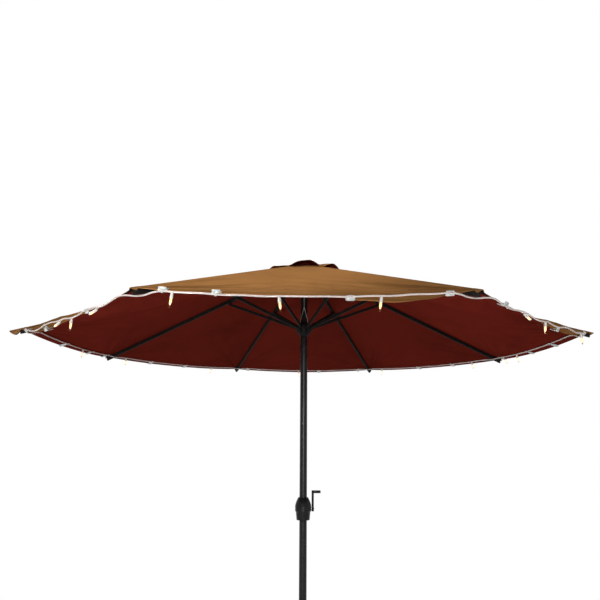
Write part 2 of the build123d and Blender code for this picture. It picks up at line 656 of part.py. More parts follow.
with BuildPart() as end_cap:
    with BuildSketch(RIB_SECTION.offset(RIB_LENGTH)):
        RectangleRounded(RIB_WIDTH, RIB_HEIGHT, RIB_ROUND)
    extrude(amount=END_CAP_LENGTH)
    fillet(end_cap.edges().group_by(Axis(HUB_PIVOT, ALONG))[-1], 2)
    with BuildSketch(RIB_SECTION.offset(RIB_LENGTH)):
        RectangleRounded(RIB_WIDTH - 2 * TUBE_WALL, RIB_HEIGHT - 2 * TUBE_WALL, RIB_ROUND - TUBE_WALL)
    extrude(amount=-2 * END_CAP_LENGTH)

# One strut: a tube pressed flat at both ends
with BuildPart() as strut:
    with BuildSketch(STRUT_SECTION.offset(STRUT_TUBE_START)):
        RectangleRounded(STRUT_WIDTH, STRUT_HEIGHT, STRUT_ROUND)
        RectangleRounded(
            STRUT_WIDTH - 2 * TUBE_WALL,
            STRUT_HEIGHT - 2 * TUBE_WALL,
            STRUT_ROUND - TUBE_WALL,
            mode=Mode.SUBTRACT,
        )
    extrude(amount=STRUT_LENGTH - 2 * STRUT_TUBE_START)
    for start, inner in ((0, 1), (STRUT_LENGTH, -1)):
        with BuildSketch(STRUT_SIDE):
            with Locations((start, 0)):
                Circle(STRUT_END_R)
            with Locations((start + inner * STRUT_FLAT / 2, 0)):
                Rectangle(STRUT_FLAT, STRUT_HEIGHT - 2 * TUBE_WALL)
            with Locations((start, 0)):
                Circle(PIN_R + PIN_GAP, mode=Mode.SUBTRACT)
        extrude(amount=TONGUE_WIDTH / 2, both=True)

# The cloth that one rib carries: half of each panel beside it, and the same of the vent
canopy_outer = (TIP_RADIUS, HEM_Z)
canopy_inner = (CANOPY_TOP_R, HUB_LINE_Z - CANOPY_TOP_R * CANOPY_SLOPE)
vent_outer = (VENT_R, HUB_LINE_Z - VENT_R * CANOPY_SLOPE + CLOTH + VENT_LIFT)
vent_inner = (VENT_INNER_R, VENT_INNER_Z)
with BuildPart() as canopy_panel:
    for side in (-1, 1):
        add(cloth_half(side, canopy_outer, canopy_inner, HEM_SAG))

with BuildPart() as vent_panel:
    for side in (-1, 1):
        add(cloth_half(side, vent_outer, vent_inner, -VENT_ARCH))


def cord_part(previous_run, next_run):
    """The stretch of light cord that one rib carries, from panel middle to panel middle."""
    points = [hem_point(-d, previous_run[0], drop) for d, drop in reversed(run_points(previous_run))]
    if max(previous_run[0], next_run[0]) > 0:
        points.append(Vector(TIP_RADIUS - OUTER_PASS_INSET, 0, HEM_Z - OUTER_PASS_DROP))
    else:
        points.append(Vector(TIP_RADIUS - INNER_PASS_INSET, 0, HEM_Z - INNER_PASS_DROP))
    points += [hem_point(d, next_run[0], drop) for d, drop in run_points(next_run)]
    with BuildPart() as cord:
        with BuildLine() as route:
            FilletPolyline(*points, radius=CORD_BEND)
        with BuildSketch(Plane(origin=route.line @ 0, z_dir=route.line % 0)):
            Circle(CORD_R)
        sweep(path=route.line)
    return cord.part


def clip_part(distance, out_by, drop):
    """A spring clip pushed on the hem, with an arm out or in to a cradle for the cord."""
    side = 1 if distance > 0 else -1
    tangent = (hem_point(distance + side) - hem_point(distance - side)).normalized()
    up = tangent.cross(ruling(distance)).normalized() * side
    outward = tangent.cross(up).normalized() * side
    middle = hem_point(distance) + Vector(0, 0, CLOTH / 2)
    section = Plane(origin=middle, x_dir=outward, z_dir=outward.cross(up))
    shift = hem_point(distance, out_by, drop) - middle
    cradle = (shift.dot(outward), shift.dot(up))
    lip = CLIP_GAP / 2 + CLIP_PLATE
    with BuildPart() as clip:
        with BuildSketch(section):
            with Locations((CLIP_ROOM + CLIP_PLATE - CLIP_DEPTH / 2, 0)):
                Rectangle(CLIP_DEPTH, 2 * lip)
            with Locations((CLIP_ROOM - CLIP_DEPTH / 2, 0)):
                Rectangle(CLIP_DEPTH, CLIP_GAP, mode=Mode.SUBTRACT)
        extrude(amount=CLIP_WIDTH / 2, both=True)
        with BuildSketch(section):
            if out_by > 0:
                with Locations((CLIP_ROOM + CLIP_PLATE / 2, cradle[1] / 2)):
                    Rectangle(CLIP_PLATE, abs(cradle[1]) + 2 * CLIP_PLATE)
                with Locations(((CLIP_ROOM + cradle[0]) / 2, cradle[1])):
                    Rectangle(cradle[0] - CLIP_ROOM, 2 * CLIP_PLATE)
            else:
                arm_low = cradle[1] + CORD_R + CRADLE_GAP
                arm_high = -lip + CLIP_PLATE / 4
                with Locations(((cradle[0] - CLIP_DEPTH / 2) / 2, (arm_low + arm_high) / 2)):
                    Rectangle(-CLIP_DEPTH / 2 - cradle[0], arm_high - arm_low)
            with Locations(cradle):
                Circle(CRADLE_R)
                Circle(CORD_R + CRADLE_GAP, mode=Mode.SUBTRACT)
            with Locations((cradle[0] + CRADLE_R / 2, cradle[1] - CRADLE_R)):
                Rectangle(CRADLE_R * 0.7, CRADLE_R * 1.2, mode=Mode.SUBTRACT)
        extrude(amount=CRADLE_LENGTH / 2, both=True)
    return clip.part


def lamp_plane(distance, out_by, drop, lean_along, lean_out):
    """The plane of a lamp holder's upper end, looking the way the lamp hangs."""
    side = 1 if distance > 0 else -1
    along, out = hem_frame(side)
    way = Vector(0, 0, -1) + along * side * tan(radians(lean_along)) + out * tan(radians(lean_out))
    way = way.normalized()
    sideways = sqrt(1 - way.Z**2)
    hang = CORD_R + HOLDER_GAP + HOLDER_TOP_R * sideways
    return Plane(origin=hem_point(distance, out_by, drop + hang), z_dir=way)


def holder_part(plane):
    with BuildPart() as holder:
        with BuildSketch(plane):
            Circle(HOLDER_TOP_R)
        with BuildSketch(plane.offset(HOLDER_LENGTH)):
            Circle(HOLDER_MOUTH_R)
        loft()
        with BuildSketch(plane.offset(HOLDER_LENGTH - BULB_SEAT)):
            Circle(BULB_R + PIN_GAP)
        extrude(amount=BULB_SEAT, mode=Mode.SUBTRACT)
    return holder.part


def bulb_part(plane):
    with BuildPart() as bulb:
        with BuildSketch(plane.offset(HOLDER_LENGTH - BULB_SEAT + HOLDER_GAP)):
            Circle(BULB_R)
        extrude(amount=BULB_LENGTH + BULB_SEAT - HOLDER_GAP)
        fillet(bulb.edges().group_by(Axis(plane.origin, plane.z_dir))[-1], BULB_R * 0.9)
    return bulb.part


for piece, name in (
    (lower_pole, "lower_pole"),
    (foot_plug, "foot_plug"),
    (upper_pole, "upper_pole"),
    (housing_front, "crank_housing_front"),
    (housing_rear, "crank_housing_rear"),
    (housing_screws, "housing_screws"),
    (crank_shaft, "crank_shaft"),
    (crank_spool, "crank_spool"),
    (crank_arm, "crank_arm"),
    (crank_grip, "crank_grip"),
    (top_hub, "top_hub"),
    (rib_pins, "rib_pins"),
    (top_cap, "top_cap"),
    (lift_pulley, "lift_pulley"),
    (pulley_axle, "pulley_axle"),
    (lift_cord_inner, "lift_cord_inner"),
    (lift_cord, "lift_cord"),
    (runner, "runner"),
):
    write(piece.part, name)

for number, (previous_run, next_run, lamps, clips) in enumerate(STRINGS, start=1):
    azimuth = FIRST_AZIMUTH + STEP * (number - 1)
    string = [cord_part(previous_run, next_run)]
    bulbs = []
    for place in clips:
        distance = place * HALF_EDGE
        run = next_run if distance > 0 else previous_run
        string.append(clip_part(distance, run[0], drop_at(run, abs(distance))))
    for place, lean_along, lean_out in lamps:
        distance = place * HALF_EDGE
        run = next_run if distance > 0 else previous_run
        plane = lamp_plane(distance, run[0], drop_at(run, abs(distance)), lean_along, lean_out)
        string.append(holder_part(plane))
        bulbs.append(bulb_part(plane))
    rib_pieces = [rib_tube.part, bracket.part, joint_pin.part, end_cap.part]
    cloth = [canopy_panel.part, vent_panel.part]
    write(Compound(children=[turned(p, azimuth) for p in rib_pieces]), f"rib_{number}")
    write(turned(strut.part, azimuth), f"strut_{number}")
    write(Compound(children=[turned(p, azimuth) for p in cloth]), f"canopy_{number}")
    write(Compound(children=[turned(p, azimuth) for p in string]), f"light_string_{number}")
    write(Compound(children=[turned(p, azimuth) for p in bulbs]), f"bulbs_{number}")

print("fold", degrees(FOLD), "strut turn", degrees(STRUT_TURN), "travel", TRAVEL)
print("crank turn", degrees(CRANK_TURN), "pulley turn", degrees(TRAVEL / PULLEY_OFFSET))
print("joint", tuple(JOINT), "hem", HEM_Z, "hub line", HUB_LINE_Z, "half edge", HALF_EDGE)
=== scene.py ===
from math import atan2, copysign, cos, hypot, pi, radians, sin, sqrt, tan

import bmesh
import bpy
import numpy as np
from mathutils import Matrix, Vector, noise


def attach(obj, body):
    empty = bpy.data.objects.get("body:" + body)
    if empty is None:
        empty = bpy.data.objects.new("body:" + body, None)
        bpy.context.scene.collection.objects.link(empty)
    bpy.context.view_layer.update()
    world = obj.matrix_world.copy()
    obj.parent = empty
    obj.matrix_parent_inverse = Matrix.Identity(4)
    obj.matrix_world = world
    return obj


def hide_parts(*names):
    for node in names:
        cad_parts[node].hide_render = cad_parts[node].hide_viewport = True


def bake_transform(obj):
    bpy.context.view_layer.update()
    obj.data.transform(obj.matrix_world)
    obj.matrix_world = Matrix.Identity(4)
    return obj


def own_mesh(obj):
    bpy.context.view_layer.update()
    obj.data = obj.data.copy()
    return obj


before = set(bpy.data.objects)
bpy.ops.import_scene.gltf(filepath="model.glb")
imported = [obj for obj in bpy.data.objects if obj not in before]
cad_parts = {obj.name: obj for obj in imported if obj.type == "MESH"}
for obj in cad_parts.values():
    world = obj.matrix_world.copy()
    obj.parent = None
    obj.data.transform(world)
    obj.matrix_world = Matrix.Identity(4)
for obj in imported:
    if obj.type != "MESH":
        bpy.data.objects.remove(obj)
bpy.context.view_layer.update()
scene = bpy.context.scene
scene.view_settings.view_transform = "Standard"

# Sizes of the parasol, in metres, the same as the solids'
RIBS = range(1, 9)
STEP = radians(45)
HALF = STEP / 2
UP = Vector((0, 0, 1))
TIP_R = 1.37
RIB_END_INSET = 0.012
HUB_PIVOT_R = 0.032
HUB_PIVOT_Z = 2.42
RIB_FALL = 0.455
RIB_RUN = TIP_R - RIB_END_INSET - HUB_PIVOT_R
SLOPE = RIB_FALL / RIB_RUN
RIB_ANGLE = atan2(RIB_FALL, RIB_RUN)
CLOTH_OVER_AXIS = 0.011
HUB_LINE_Z = HUB_PIVOT_Z + HUB_PIVOT_R * SLOPE + CLOTH_OVER_AXIS / cos(RIB_ANGLE)
HEM_Z = HUB_LINE_Z - TIP_R * SLOPE
HALF_EDGE = TIP_R * sin(HALF)
HEM_SAG = 0.02
CLOTH = 0.0014
CANOPY_TOP_R = 0.12
VENT_R = 0.232
VENT_INNER_R = 0.014
VENT_INNER_Z = 2.439
VENT_LIFT = 0.0026
VENT_OUTER_Z = HUB_LINE_Z - VENT_R * SLOPE + CLOTH + VENT_LIFT
CROWN_R = 0.06
CORD_R = 0.0025
CLIP_ROOM = 0.0006
CLIP_PLATE = 0.0016
CLIP_GAP = 0.0026
CLIP_DEPTH = 0.026
CLIP_WIDTH = 0.028
CRADLE_R = 0.0052
CRADLE_BORE = 0.0032
CRADLE_LENGTH = 0.006
HOLDER_TOP_R = 0.0044
HOLDER_GAP = 0.0002

# The light string's route, the same as the solids': its way out from the hem, and its drop below the hem at
# even stations from the corner to the panel's middle, in millimetres
CALM = (7, [4, 7, 4, 8, 5, 8, 5, 6])
LOOSE = (7, [4, 13, 17, 8, 4, 13, 15, 6])
SLACK = (7, [4, 16, 24, 20, 7, 4, 9, 6])
INNER = (-40, [-7, -8, -7, -8, -7, -8, -7, -8])
EVEN_STATIONS = 7
FIRST_STATION = 0.075
MIDDLE_GAP = 0.0013
STATION_STEP = (HALF_EDGE - MIDDLE_GAP - FIRST_STATION) / EVEN_STATIONS
OUTER_PASS = Vector((TIP_R - 0.034, 0, HEM_Z - 0.021))
INNER_PASS = Vector((TIP_R - 0.07, 0, HEM_Z - 0.005))

# For each rib: the runs before and after its corner, the lamps as (place, lean along the hem, lean out) in
# degrees, and the clips' places. A place is a share of the way to the panel's middle.
STRINGS = [
    (INNER, INNER, [(-0.673, -4, 10), (-0.301, -35, 20), (0.332, -13, 0)], [-0.914, -0.172, 0.629]),
    (INNER, INNER, [(-0.28, 8, 0)], [-0.864, 0.175, 0.763]),
    (INNER, INNER, [(-0.935, -5, 0), (0.496, 18, 0)], [-0.172, 0.91]),
    (INNER, INNER, [(-0.204, 0, 0), (0.9, 12, 0)], [-0.572, 0.172, 0.61]),
    (INNER, SLACK, [(0.935, -70, 20)], [-0.753, 0.168, 0.629]),
    (
        LOOSE, CALM, [(-0.849, 0, 3), (-0.45, -70, 30), (0.231, -8, 0), (0.841, 7, 0)],
        [-0.629, 0.168, 0.479],
    ),
    (CALM, LOOSE, [(-0.57, -9, 0), (0.593, 65, 15), (0.954, -18, 0)], [-0.746, -0.172, 0.341]),
    (LOOSE, INNER, [(-0.286, 4, 0)], [-0.788, -0.172, 0.572]),
]

# Half widths of the stiff seam strip over each rib, on the canopy and on the vent
SEAM_HALF = 0.014
VENT_SEAM_HALF = 0.016

# Sizes of the weave and the stitches, in metres, and how far the noise of the yarns is drawn out
WEAVE_PITCH = 0.0016
STITCH_PITCH = 0.0042
STITCH_SHARE = 0.72
STITCH_HALF_WIDTH = 0.00055
SEAM_STITCH_ROWS = (0.0052, 0.0092)
HEM_STITCH_ROWS = (0.0045, 0.0185)
CORNER_PATCH = 0.042
PATCH_SLANT = 0.3827
SLUBS = ((420, 26, 1), (26, 420, 1))


# Materials
class Nodes:
    """A node tree with short calls for its usual nodes."""

    def __init__(self, tree):
        self.tree = tree

    def node(self, kind, inputs=(), **settings):
        node = self.tree.nodes.new(kind)
        for key, value in settings.items():
            setattr(node, key, value)
        for key, value in dict(inputs).items():
            self.put(node.inputs[key], value)
        return node

    def put(self, socket, value):
        if isinstance(value, bpy.types.NodeSocket):
            self.tree.links.new(value, socket)
        else:
            socket.default_value = value

    def math(self, operation, first, second=0.0):
        node = self.node("ShaderNodeMath", {0: first, 1: second}, operation=operation)
        return node.outputs[0]

    def times(self, first, second):
        return self.math("MULTIPLY", first, second)

    def plus(self, first, second):
        return self.math("ADD", first, second)

    def object_space(self):
        return self.node("ShaderNodeTexCoord").outputs["Object"]

    def noise(self, vector, scale, detail=2, roughness=0.5):
        sockets = {"Vector": vector, "Scale": scale, "Detail": detail, "Roughness": roughness}
        return self.node("ShaderNodeTexNoise", sockets).outputs["Fac"]

    def ramp(self, factor, *stops):
        node = self.node("ShaderNodeValToRGB", {"Fac": factor})
        for element, (place, color) in zip(node.color_ramp.elements, stops):
            element.position = place
            element.color = (*color, 1)
        return node.outputs["Color"]

    def span(self, value, low, high, to_low, to_high):
        sockets = {0: value, 1: low, 2: high, 3: to_low, 4: to_high}
        return self.node("ShaderNodeMapRange", sockets).outputs[0]

    def mix(self, factor, color, tint):
        sockets = {0: factor, 6: color, 7: (*tint, 1)}
        return self.node("ShaderNodeMix", sockets, data_type="RGBA").outputs[2]

    def seen_directly(self):
        """One for a ray from the camera, also by way of a mirror or through glass."""
        path = self.node("ShaderNodeLightPath")
        seen = path.outputs["Is Camera Ray"]
        for ray in ("Is Glossy Ray", "Is Transmission Ray"):
            seen = self.math("MAXIMUM", seen, path.outputs[ray])
        return seen


class Look(Nodes):
    """The node tree of a material with a principled shader."""

    def __init__(self, name):
        self.material = bpy.data.materials.new(name)
        self.material.use_nodes = True
        super().__init__(self.material.node_tree)
        self.shader = self.tree.nodes["Principled BSDF"]

    def set(self, **inputs):
        for key, value in inputs.items():
            self.put(self.shader.inputs[key.replace("_", " ")], value)

    def bump(self, height, strength, distance):
        sockets = {"Height": height, "Strength": strength, "Distance": distance}
        self.set(Normal=self.node("ShaderNodeBump", sockets).outputs[0])


def coated(name, dark, light, rough, grain, strength, speck, metallic=0.0, shine=0.5):
    """A painted or moulded skin: mottled colour, uneven gloss and a fine grain."""
    look = Look(name)
    space = look.object_space()
    patches = look.noise(space, speck, detail=4, roughness=0.6)
    look.set(Base_Color=look.ramp(patches, (0.3, dark), (0.75, light)))
    gloss = look.span(look.noise(space, speck * 3), 0.3, 0.7, *rough)
    look.set(Roughness=gloss, Metallic=metallic, Specular_IOR_Level=shine)
    look.bump(look.noise(space, grain, detail=3), strength, distance=0.0004)
    return look.material


def painted_fold_shade(look, across, side, up, depth):
    """Painted shade of the tension folds: dark streaks that run out from the panel's corner and fade with
    the distance from it.
    """
    far = look.math("SQRT", look.plus(look.times(up, up), look.times(side, side)))
    angle = look.math("ARCTAN2", up, side)
    half = look.math("SIGN", across)
    fan = {0: look.times(angle, 11), 1: look.times(far, 1.8), 2: look.times(half, 3.7)}
    ray = look.node("ShaderNodeCombineXYZ", fan).outputs[0]
    streak = look.span(look.noise(ray, 1, detail=3), 0.4, 0.56, depth, 0)
    return look.times(streak, look.span(far, 0.1, 0.5, 1, 0))


def stitches(look, across, side, up):
    """One on the thread of the double rows beside the seam and above the hem."""
    rows = [(side, up, line) for line in SEAM_STITCH_ROWS]
    rows += [(up, across, line) for line in HEM_STITCH_ROWS]
    thread = 0.0
    for value, run, line in rows:
        offset = look.math("ABSOLUTE", look.math("SUBTRACT", value, line))
        near = look.math("LESS_THAN", offset, STITCH_HALF_WIDTH)
        dash = look.math("FRACT", look.times(run, 1 / STITCH_PITCH))
        shown = look.math("LESS_THAN", dash, STITCH_SHARE)
        thread = look.math("MAXIMUM", thread, look.times(near, shown))
    return thread


def cloth_finish(name, light, dark, thread, fold_shade_depth, patch=None):
    """Woven cloth laid out on a map in metres: across from the rib's seam, and up from the hem."""
    look = Look(name)
    place = look.node("ShaderNodeUVMap", uv_map="cloth").outputs[0]
    split = look.node("ShaderNodeSeparateXYZ", {0: place})
    across, up = split.outputs[0], split.outputs[1]
    side = look.math("ABSOLUTE", across)
    warp = look.math("SINE", look.times(across, 2 * pi / WEAVE_PITCH))
    weft = look.math("SINE", look.times(up, 2 * pi / WEAVE_PITCH))
    weave = look.times(warp, weft)
    drawn_out = [look.node("ShaderNodeMapping", {"Vector": place, "Scale": slub}) for slub in SLUBS]
    yarn = look.plus(*[look.noise(node.outputs[0], 1, detail=3) for node in drawn_out])
    blotch = look.noise(look.object_space(), 3.2, detail=5, roughness=0.62)
    tone = look.plus(look.times(yarn, 0.28), look.times(blotch, 0.72))
    color = look.ramp(tone, (0.36, dark), (0.66, light))
    # Painted shade of the tension folds: the cloth is darkened in streaks that fan out from the corners
    shade = tuple(0.45 * c for c in dark)
    color = look.mix(painted_fold_shade(look, across, side, up, fold_shade_depth), color, shade)
    if patch:
        reach = look.plus(up, look.times(side, PATCH_SLANT))
        color = look.mix(look.math("LESS_THAN", reach, CORNER_PATCH), color, patch)
    stitch = stitches(look, across, side, up)
    look.set(Base_Color=look.mix(stitch, color, thread))
    look.set(Roughness=look.span(yarn, 0.7, 1.3, 0.78, 0.94), Specular_IOR_Level=0)
    height = look.plus(look.times(weave, 0.35), look.plus(yarn, stitch))
    look.bump(height, strength=0.22, distance=0.0006)
    return look.material


def clip_finish():
    """Milky moulded plastic that lets some light through."""
    look = Look("clip_plastic")
    space = look.object_space()
    cloud = look.noise(space, 160, detail=3)
    look.set(Base_Color=look.ramp(cloud, (0.3, (0.56, 0.58, 0.56)), (0.7, (0.7, 0.72, 0.7))))
    look.set(Roughness=look.span(cloud, 0.3, 0.7, 0.26, 0.42), Transmission_Weight=0.35, IOR=1.46)
    look.bump(look.noise(space, 900), strength=0.06, distance=0.0004)
    return look.material


def glass_finish():
    """Greyish blown glass with faint draw lines."""
    look = Look("bulb_glass")
    space = look.object_space()
    cloud = look.noise(space, 90)
    look.set(Base_Color=look.ramp(cloud, (0.3, (0.56, 0.55, 0.52)), (0.7, (0.66, 0.65, 0.62))))
    look.set(Roughness=look.span(look.noise(space, 240), 0.3, 0.7, 0.02, 0.07))
    look.set(Transmission_Weight=1, IOR=1.22)
    look.bump(look.noise(space, 420), strength=0.05, distance=0.0003)
    return look.material


def glow_finish():
    """The lit filament, mottled from orange to a pale yellow."""
    look = Look("filament_glow")
    heat = look.noise(look.object_space(), 260)
    color = look.ramp(heat, (0.3, (1, 0.42, 0.13)), (0.7, (1, 0.68, 0.36)))
    look.set(Base_Color=color, Emission_Color=color, Emission_Strength=2.4)
    return look.material


frame_paint = coated(
    "frame_paint", (0.008, 0.007, 0.006), (0.017, 0.015, 0.013),
    rough=(0.5, 0.64), grain=900, strength=0.1, speck=45, shine=0.03,
)
pole_paint = coated(
    "pole_paint", (0.006, 0.006, 0.006), (0.012, 0.0115, 0.011),
    rough=(0.24, 0.34), grain=900, strength=0.06, speck=45, shine=0.16,
)
black_plastic = coated(
    "black_plastic", (0.008, 0.008, 0.008), (0.015, 0.014, 0.014),
    rough=(0.5, 0.64), grain=1400, strength=0.2, speck=80, shine=0.04,
)
grip_plastic = coated(
    "grip_plastic", (0.005, 0.005, 0.005), (0.01, 0.009, 0.009),
    rough=(0.22, 0.34), grain=1100, strength=0.1, speck=90, shine=0.14,
)
steel = coated(
    "steel", (0.42, 0.42, 0.41), (0.6, 0.6, 0.58),
    rough=(0.24, 0.42), grain=1600, strength=0.12, speck=120, metallic=1.0,
)
rope = coated(
    "rope", (0.26, 0.245, 0.23), (0.44, 0.42, 0.4),
    rough=(0.75, 0.9), grain=1800, strength=0.4, speck=700, shine=0.1,
)
wire_white = coated(
    "wire_white", (0.46, 0.4, 0.375), (0.59, 0.52, 0.49),
    rough=(0.34, 0.48), grain=900, strength=0.08, speck=150, shine=0.2,
)
holder_white = coated(
    "holder_white", (0.5, 0.47, 0.43), (0.62, 0.59, 0.55),
    rough=(0.3, 0.42), grain=700, strength=0.06, speck=200, shine=0.25,
)
pocket_cloth = coated(
    "pocket_cloth", (0.008, 0.007, 0.006), (0.02, 0.016, 0.014),
    rough=(0.8, 0.95), grain=1500, strength=0.5, speck=500, shine=0.03,
)
tan_colors = ((0.285, 0.131, 0.0425), (0.195, 0.089, 0.029), (0.18, 0.085, 0.029))
red_colors = ((0.106, 0.0122, 0.0074), (0.071, 0.0084, 0.0051), (0.045, 0.005, 0.0035))
# The last number is how dark the painted shade of the tension folds gets on each cloth
cloth_outer = cloth_finish("cloth_outer", *tan_colors, fold_shade_depth=0.95)
cloth_inner = cloth_finish("cloth_inner", *red_colors, fold_shade_depth=0.35, patch=(0.012, 0.008, 0.007))
vent_inner = cloth_finish("vent_inner", *red_colors, fold_shade_depth=0.0)
clip_plastic = clip_finish()
bulb_glass = glass_finish()
filament_glow = glow_finish()


# Mesh helpers. A form is a pair of vertices and faces.
def add_object(name, form, materials, indices=None, layout=None, crisp=None, rounding=None):
    """An object of a form. Edges over the crisp angle, in degrees, stay crisp or are rounded."""
    vertices, faces = form
    mesh = bpy.data.meshes.new(name)
    mesh.from_pydata([tuple(v) for v in vertices], [], faces)
    for material in materials:
        mesh.materials.append(material)
    if indices is not None:
        mesh.polygons.foreach_set("material_index", indices)
    if layout is not None:
        layer = mesh.uv_layers.new(name="cloth")
        for loop in mesh.loops:
            layer.data[loop.index].uv = layout[loop.vertex_index]
    work = bmesh.new()
    work.from_mesh(mesh)
    bmesh.ops.recalc_face_normals(work, faces=work.faces)
    if crisp:
        met = [edge for edge in work.edges if len(edge.link_faces) == 2]
        sharp = [edge for edge in met if edge.calc_face_angle(0) > radians(crisp)]
        if rounding:
            bmesh.ops.bevel(
                work, geom=sharp, offset=rounding, segments=2, affect="EDGES", clamp_overlap=True,
            )
        else:
            for edge in sharp:
                edge.smooth = False
    for face in work.faces:
        face.smooth = True
    work.to_mesh(mesh)
    work.free()
    obj = bpy.data.objects.new(name, mesh)
    scene.collection.objects.link(obj)
    return obj


def azimuth(number):
    return HALF + STEP * (number - 1)


def turn(number):
    return Matrix.Rotation(azimuth(number), 4, "Z")


def side_of(value):
    return 1 if value >= 0 else -1


def sheet_grid(rows, columns, place):
    """Upper points, lower points and map places of a sheet, which place gives for a row and a column."""
    cells = [[place(row, column) for column in columns] for row in rows]
    return [[[cell[level] for cell in line] for line in cells] for level in range(3)]


def sheet_object(name, number, grid, materials):
    """A thin closed sheet from a sheet grid in the rib's frame."""
    upper, lower, layout = grid
    spin = turn(number)
    vertices = [spin @ p for level in (upper, lower) for row in level for p in row]
    spread = [uv for row in layout for uv in row] * 2
    under = len(vertices) // 2
    index = np.arange(under).reshape(len(upper), -1).tolist()
    faces = []
    indices = []
    for low, high in zip(index, index[1:]):
        for quad in zip(low, low[1:], high[1:], high):
            faces += [quad, [under + v for v in reversed(quad)]]
            indices += [0, 1]
    rim = index[0] + [row[-1] for row in index[1:]]
    rim += index[-1][-2::-1] + [row[0] for row in index[-2:0:-1]]
    for a, b in zip(rim, rim[1:] + rim[:1]):
        faces.append([b, a, under + a, under + b])
        indices.append(0)
    return add_object(name, (vertices, faces), materials, indices, spread, crisp=50)


def sheet_area(upper):
    """Area of the upper points of a sheet."""
    total = 0.0
    for low, high in zip(upper, upper[1:]):
        for a, b, c, d in zip(low, low[1:], high[1:], high):
            total += (b - a).cross(c - a).length / 2 + (c - a).cross(d - a).length / 2
    return total


def spline_points(points, resolution=24):
    """Points along a smooth spline with the given control points."""
    curve = bpy.data.curves.new("route", "CURVE")
    curve.dimensions = "3D"
    curve.resolution_u = resolution
    spline = curve.splines.new("NURBS")
    spline.points.add(len(points) - 1)
    for slot, point in zip(spline.points, points):
        slot.co = (*point, 1)
    spline.order_u = 3
    spline.use_endpoint_u = True
    holder = bpy.data.objects.new("route", curve)
    line = bpy.data.meshes.new_from_object(holder)
    found = [v.co.copy() for v in line.vertices]
    bpy.data.objects.remove(holder)
    bpy.data.meshes.remove(line)
    bpy.data.curves.remove(curve)
    return found


def path_length(points):
    return sum((b - a).length for a, b in zip(points, points[1:]))


def skin(rings):
    """A closed form over rings of points, with flat ends."""
    sides = len(rings[0])
    vertices = [point for ring in rings for point in ring]
    last = len(vertices) - sides
    faces = []
    for low in range(0, last, sides):
        for s in range(sides):
            n = (s + 1) % sides
            faces.append([low + s, low + n, low + sides + n, low + sides + s])
    faces += [list(reversed(range(sides))), list(range(last, last + sides))]
    return vertices, faces


def tube(points, radius, sides, offset=0.0, turns=0, phase=0.0, aim=UP):
    """A closed tube, which can wind round the line as a strand of a twisted cord."""
    total = path_length(points)
    circle = [2 * pi * s / sides for s in range(sides)]
    rings = []
    run = 0.0
    for i, point in enumerate(points):
        ahead = points[min(i + 1, len(points) - 1)]
        behind = points[max(i - 1, 0)]
        way = (ahead - behind).normalized()
        across = way.cross(aim).normalized()
        rise = across.cross(way)
        angle = phase + 2 * pi * turns * run / total
        middle = point + (across * cos(angle) + rise * sin(angle)) * offset
        rings.append([middle + (across * cos(a) + rise * sin(a)) * radius for a in circle])
        run += (ahead - point).length
    return skin(rings)


def twisted(points, radius, sides, offset, pitch, aim=UP):
    """A cord of three strands."""
    turns = max(1, round(path_length(points) / pitch))
    return joined([tube(points, radius, sides, offset, turns, 2 * pi * s / 3, aim) for s in range(3)])


def lathe(profile, sides):
    """A turned form, from (radius, height) pairs that start and end on the axis."""
    vertices = [Vector((0, 0, profile[0][1]))]
    faces = []
    for radius, height in profile[1:-1]:
        for s in range(sides):
            a = 2 * pi * s / sides
            vertices.append(Vector((radius * cos(a), radius * sin(a), height)))
    vertices.append(Vector((0, 0, profile[-1][1])))
    rings = len(profile) - 2
    for s in range(sides):
        n = (s + 1) % sides
        faces.append([0, 1 + n, 1 + s])
        for ring in range(rings - 1):
            low, high = 1 + ring * sides, 1 + (ring + 1) * sides
            faces.append([low + s, low + n, high + n, high + s])
        top = 1 + (rings - 1) * sides
        faces.append([top + s, top + n, len(vertices) - 1])
    return vertices, faces


def prism(outline, low, high):
    """A prism over an outline."""
    return skin([[Vector((x, y, z)) for x, y in outline] for z in (low, high)])


def placed(form, matrix):
    """A form moved by a matrix."""
    vertices, faces = form
    return [matrix @ v for v in vertices], faces


def joined(forms):
    """Several forms as one."""
    vertices = []
    faces = []
    for points, polygons in forms:
        start = len(vertices)
        vertices += points
        faces += [[start + v for v in polygon] for polygon in polygons]
    return vertices, faces


def add_two_tone(name, first, rest, materials, crisp=None):
    """An object of several forms: the first material is on the first form, the second on the rest."""
    form = joined([first, *rest])
    plain = len(first[1])
    return add_object(name, form, materials, [0] * plain + [1] * (len(form[1]) - plain), crisp=crisp)


# The hem, and the string beside it, in the frame of one rib
def hem_frame(side):
    along = Vector((-sin(HALF), side * cos(HALF), 0))
    out = Vector((cos(HALF), side * sin(HALF), 0))
    return along, out


def hem_point(distance, out_by=0.0, drop=0.0):
    along, out = hem_frame(side_of(distance))
    share = abs(distance) / (2 * HALF_EDGE)
    sag = HEM_SAG * 4 * share * (1 - share)
    return Vector((TIP_R, 0, HEM_Z - sag - drop)) + along * abs(distance) + out * out_by


def string_route(previous_run, next_run):
    """The string's points from one panel's middle round the corner to the next's."""
    stations = [FIRST_STATION + STATION_STEP * n for n in range(EVEN_STATIONS)] + [HALF_EDGE]
    halves = []
    for side, (out_by, drops) in ((-1, previous_run), (1, next_run)):
        halves.append([hem_point(side * d, out_by / 1000, drop / 1000) for d, drop in zip(stations, drops)])
    before, after = halves
    corner = OUTER_PASS if max(previous_run[0], next_run[0]) > 0 else INNER_PASS
    return before[::-1] + [corner] + after


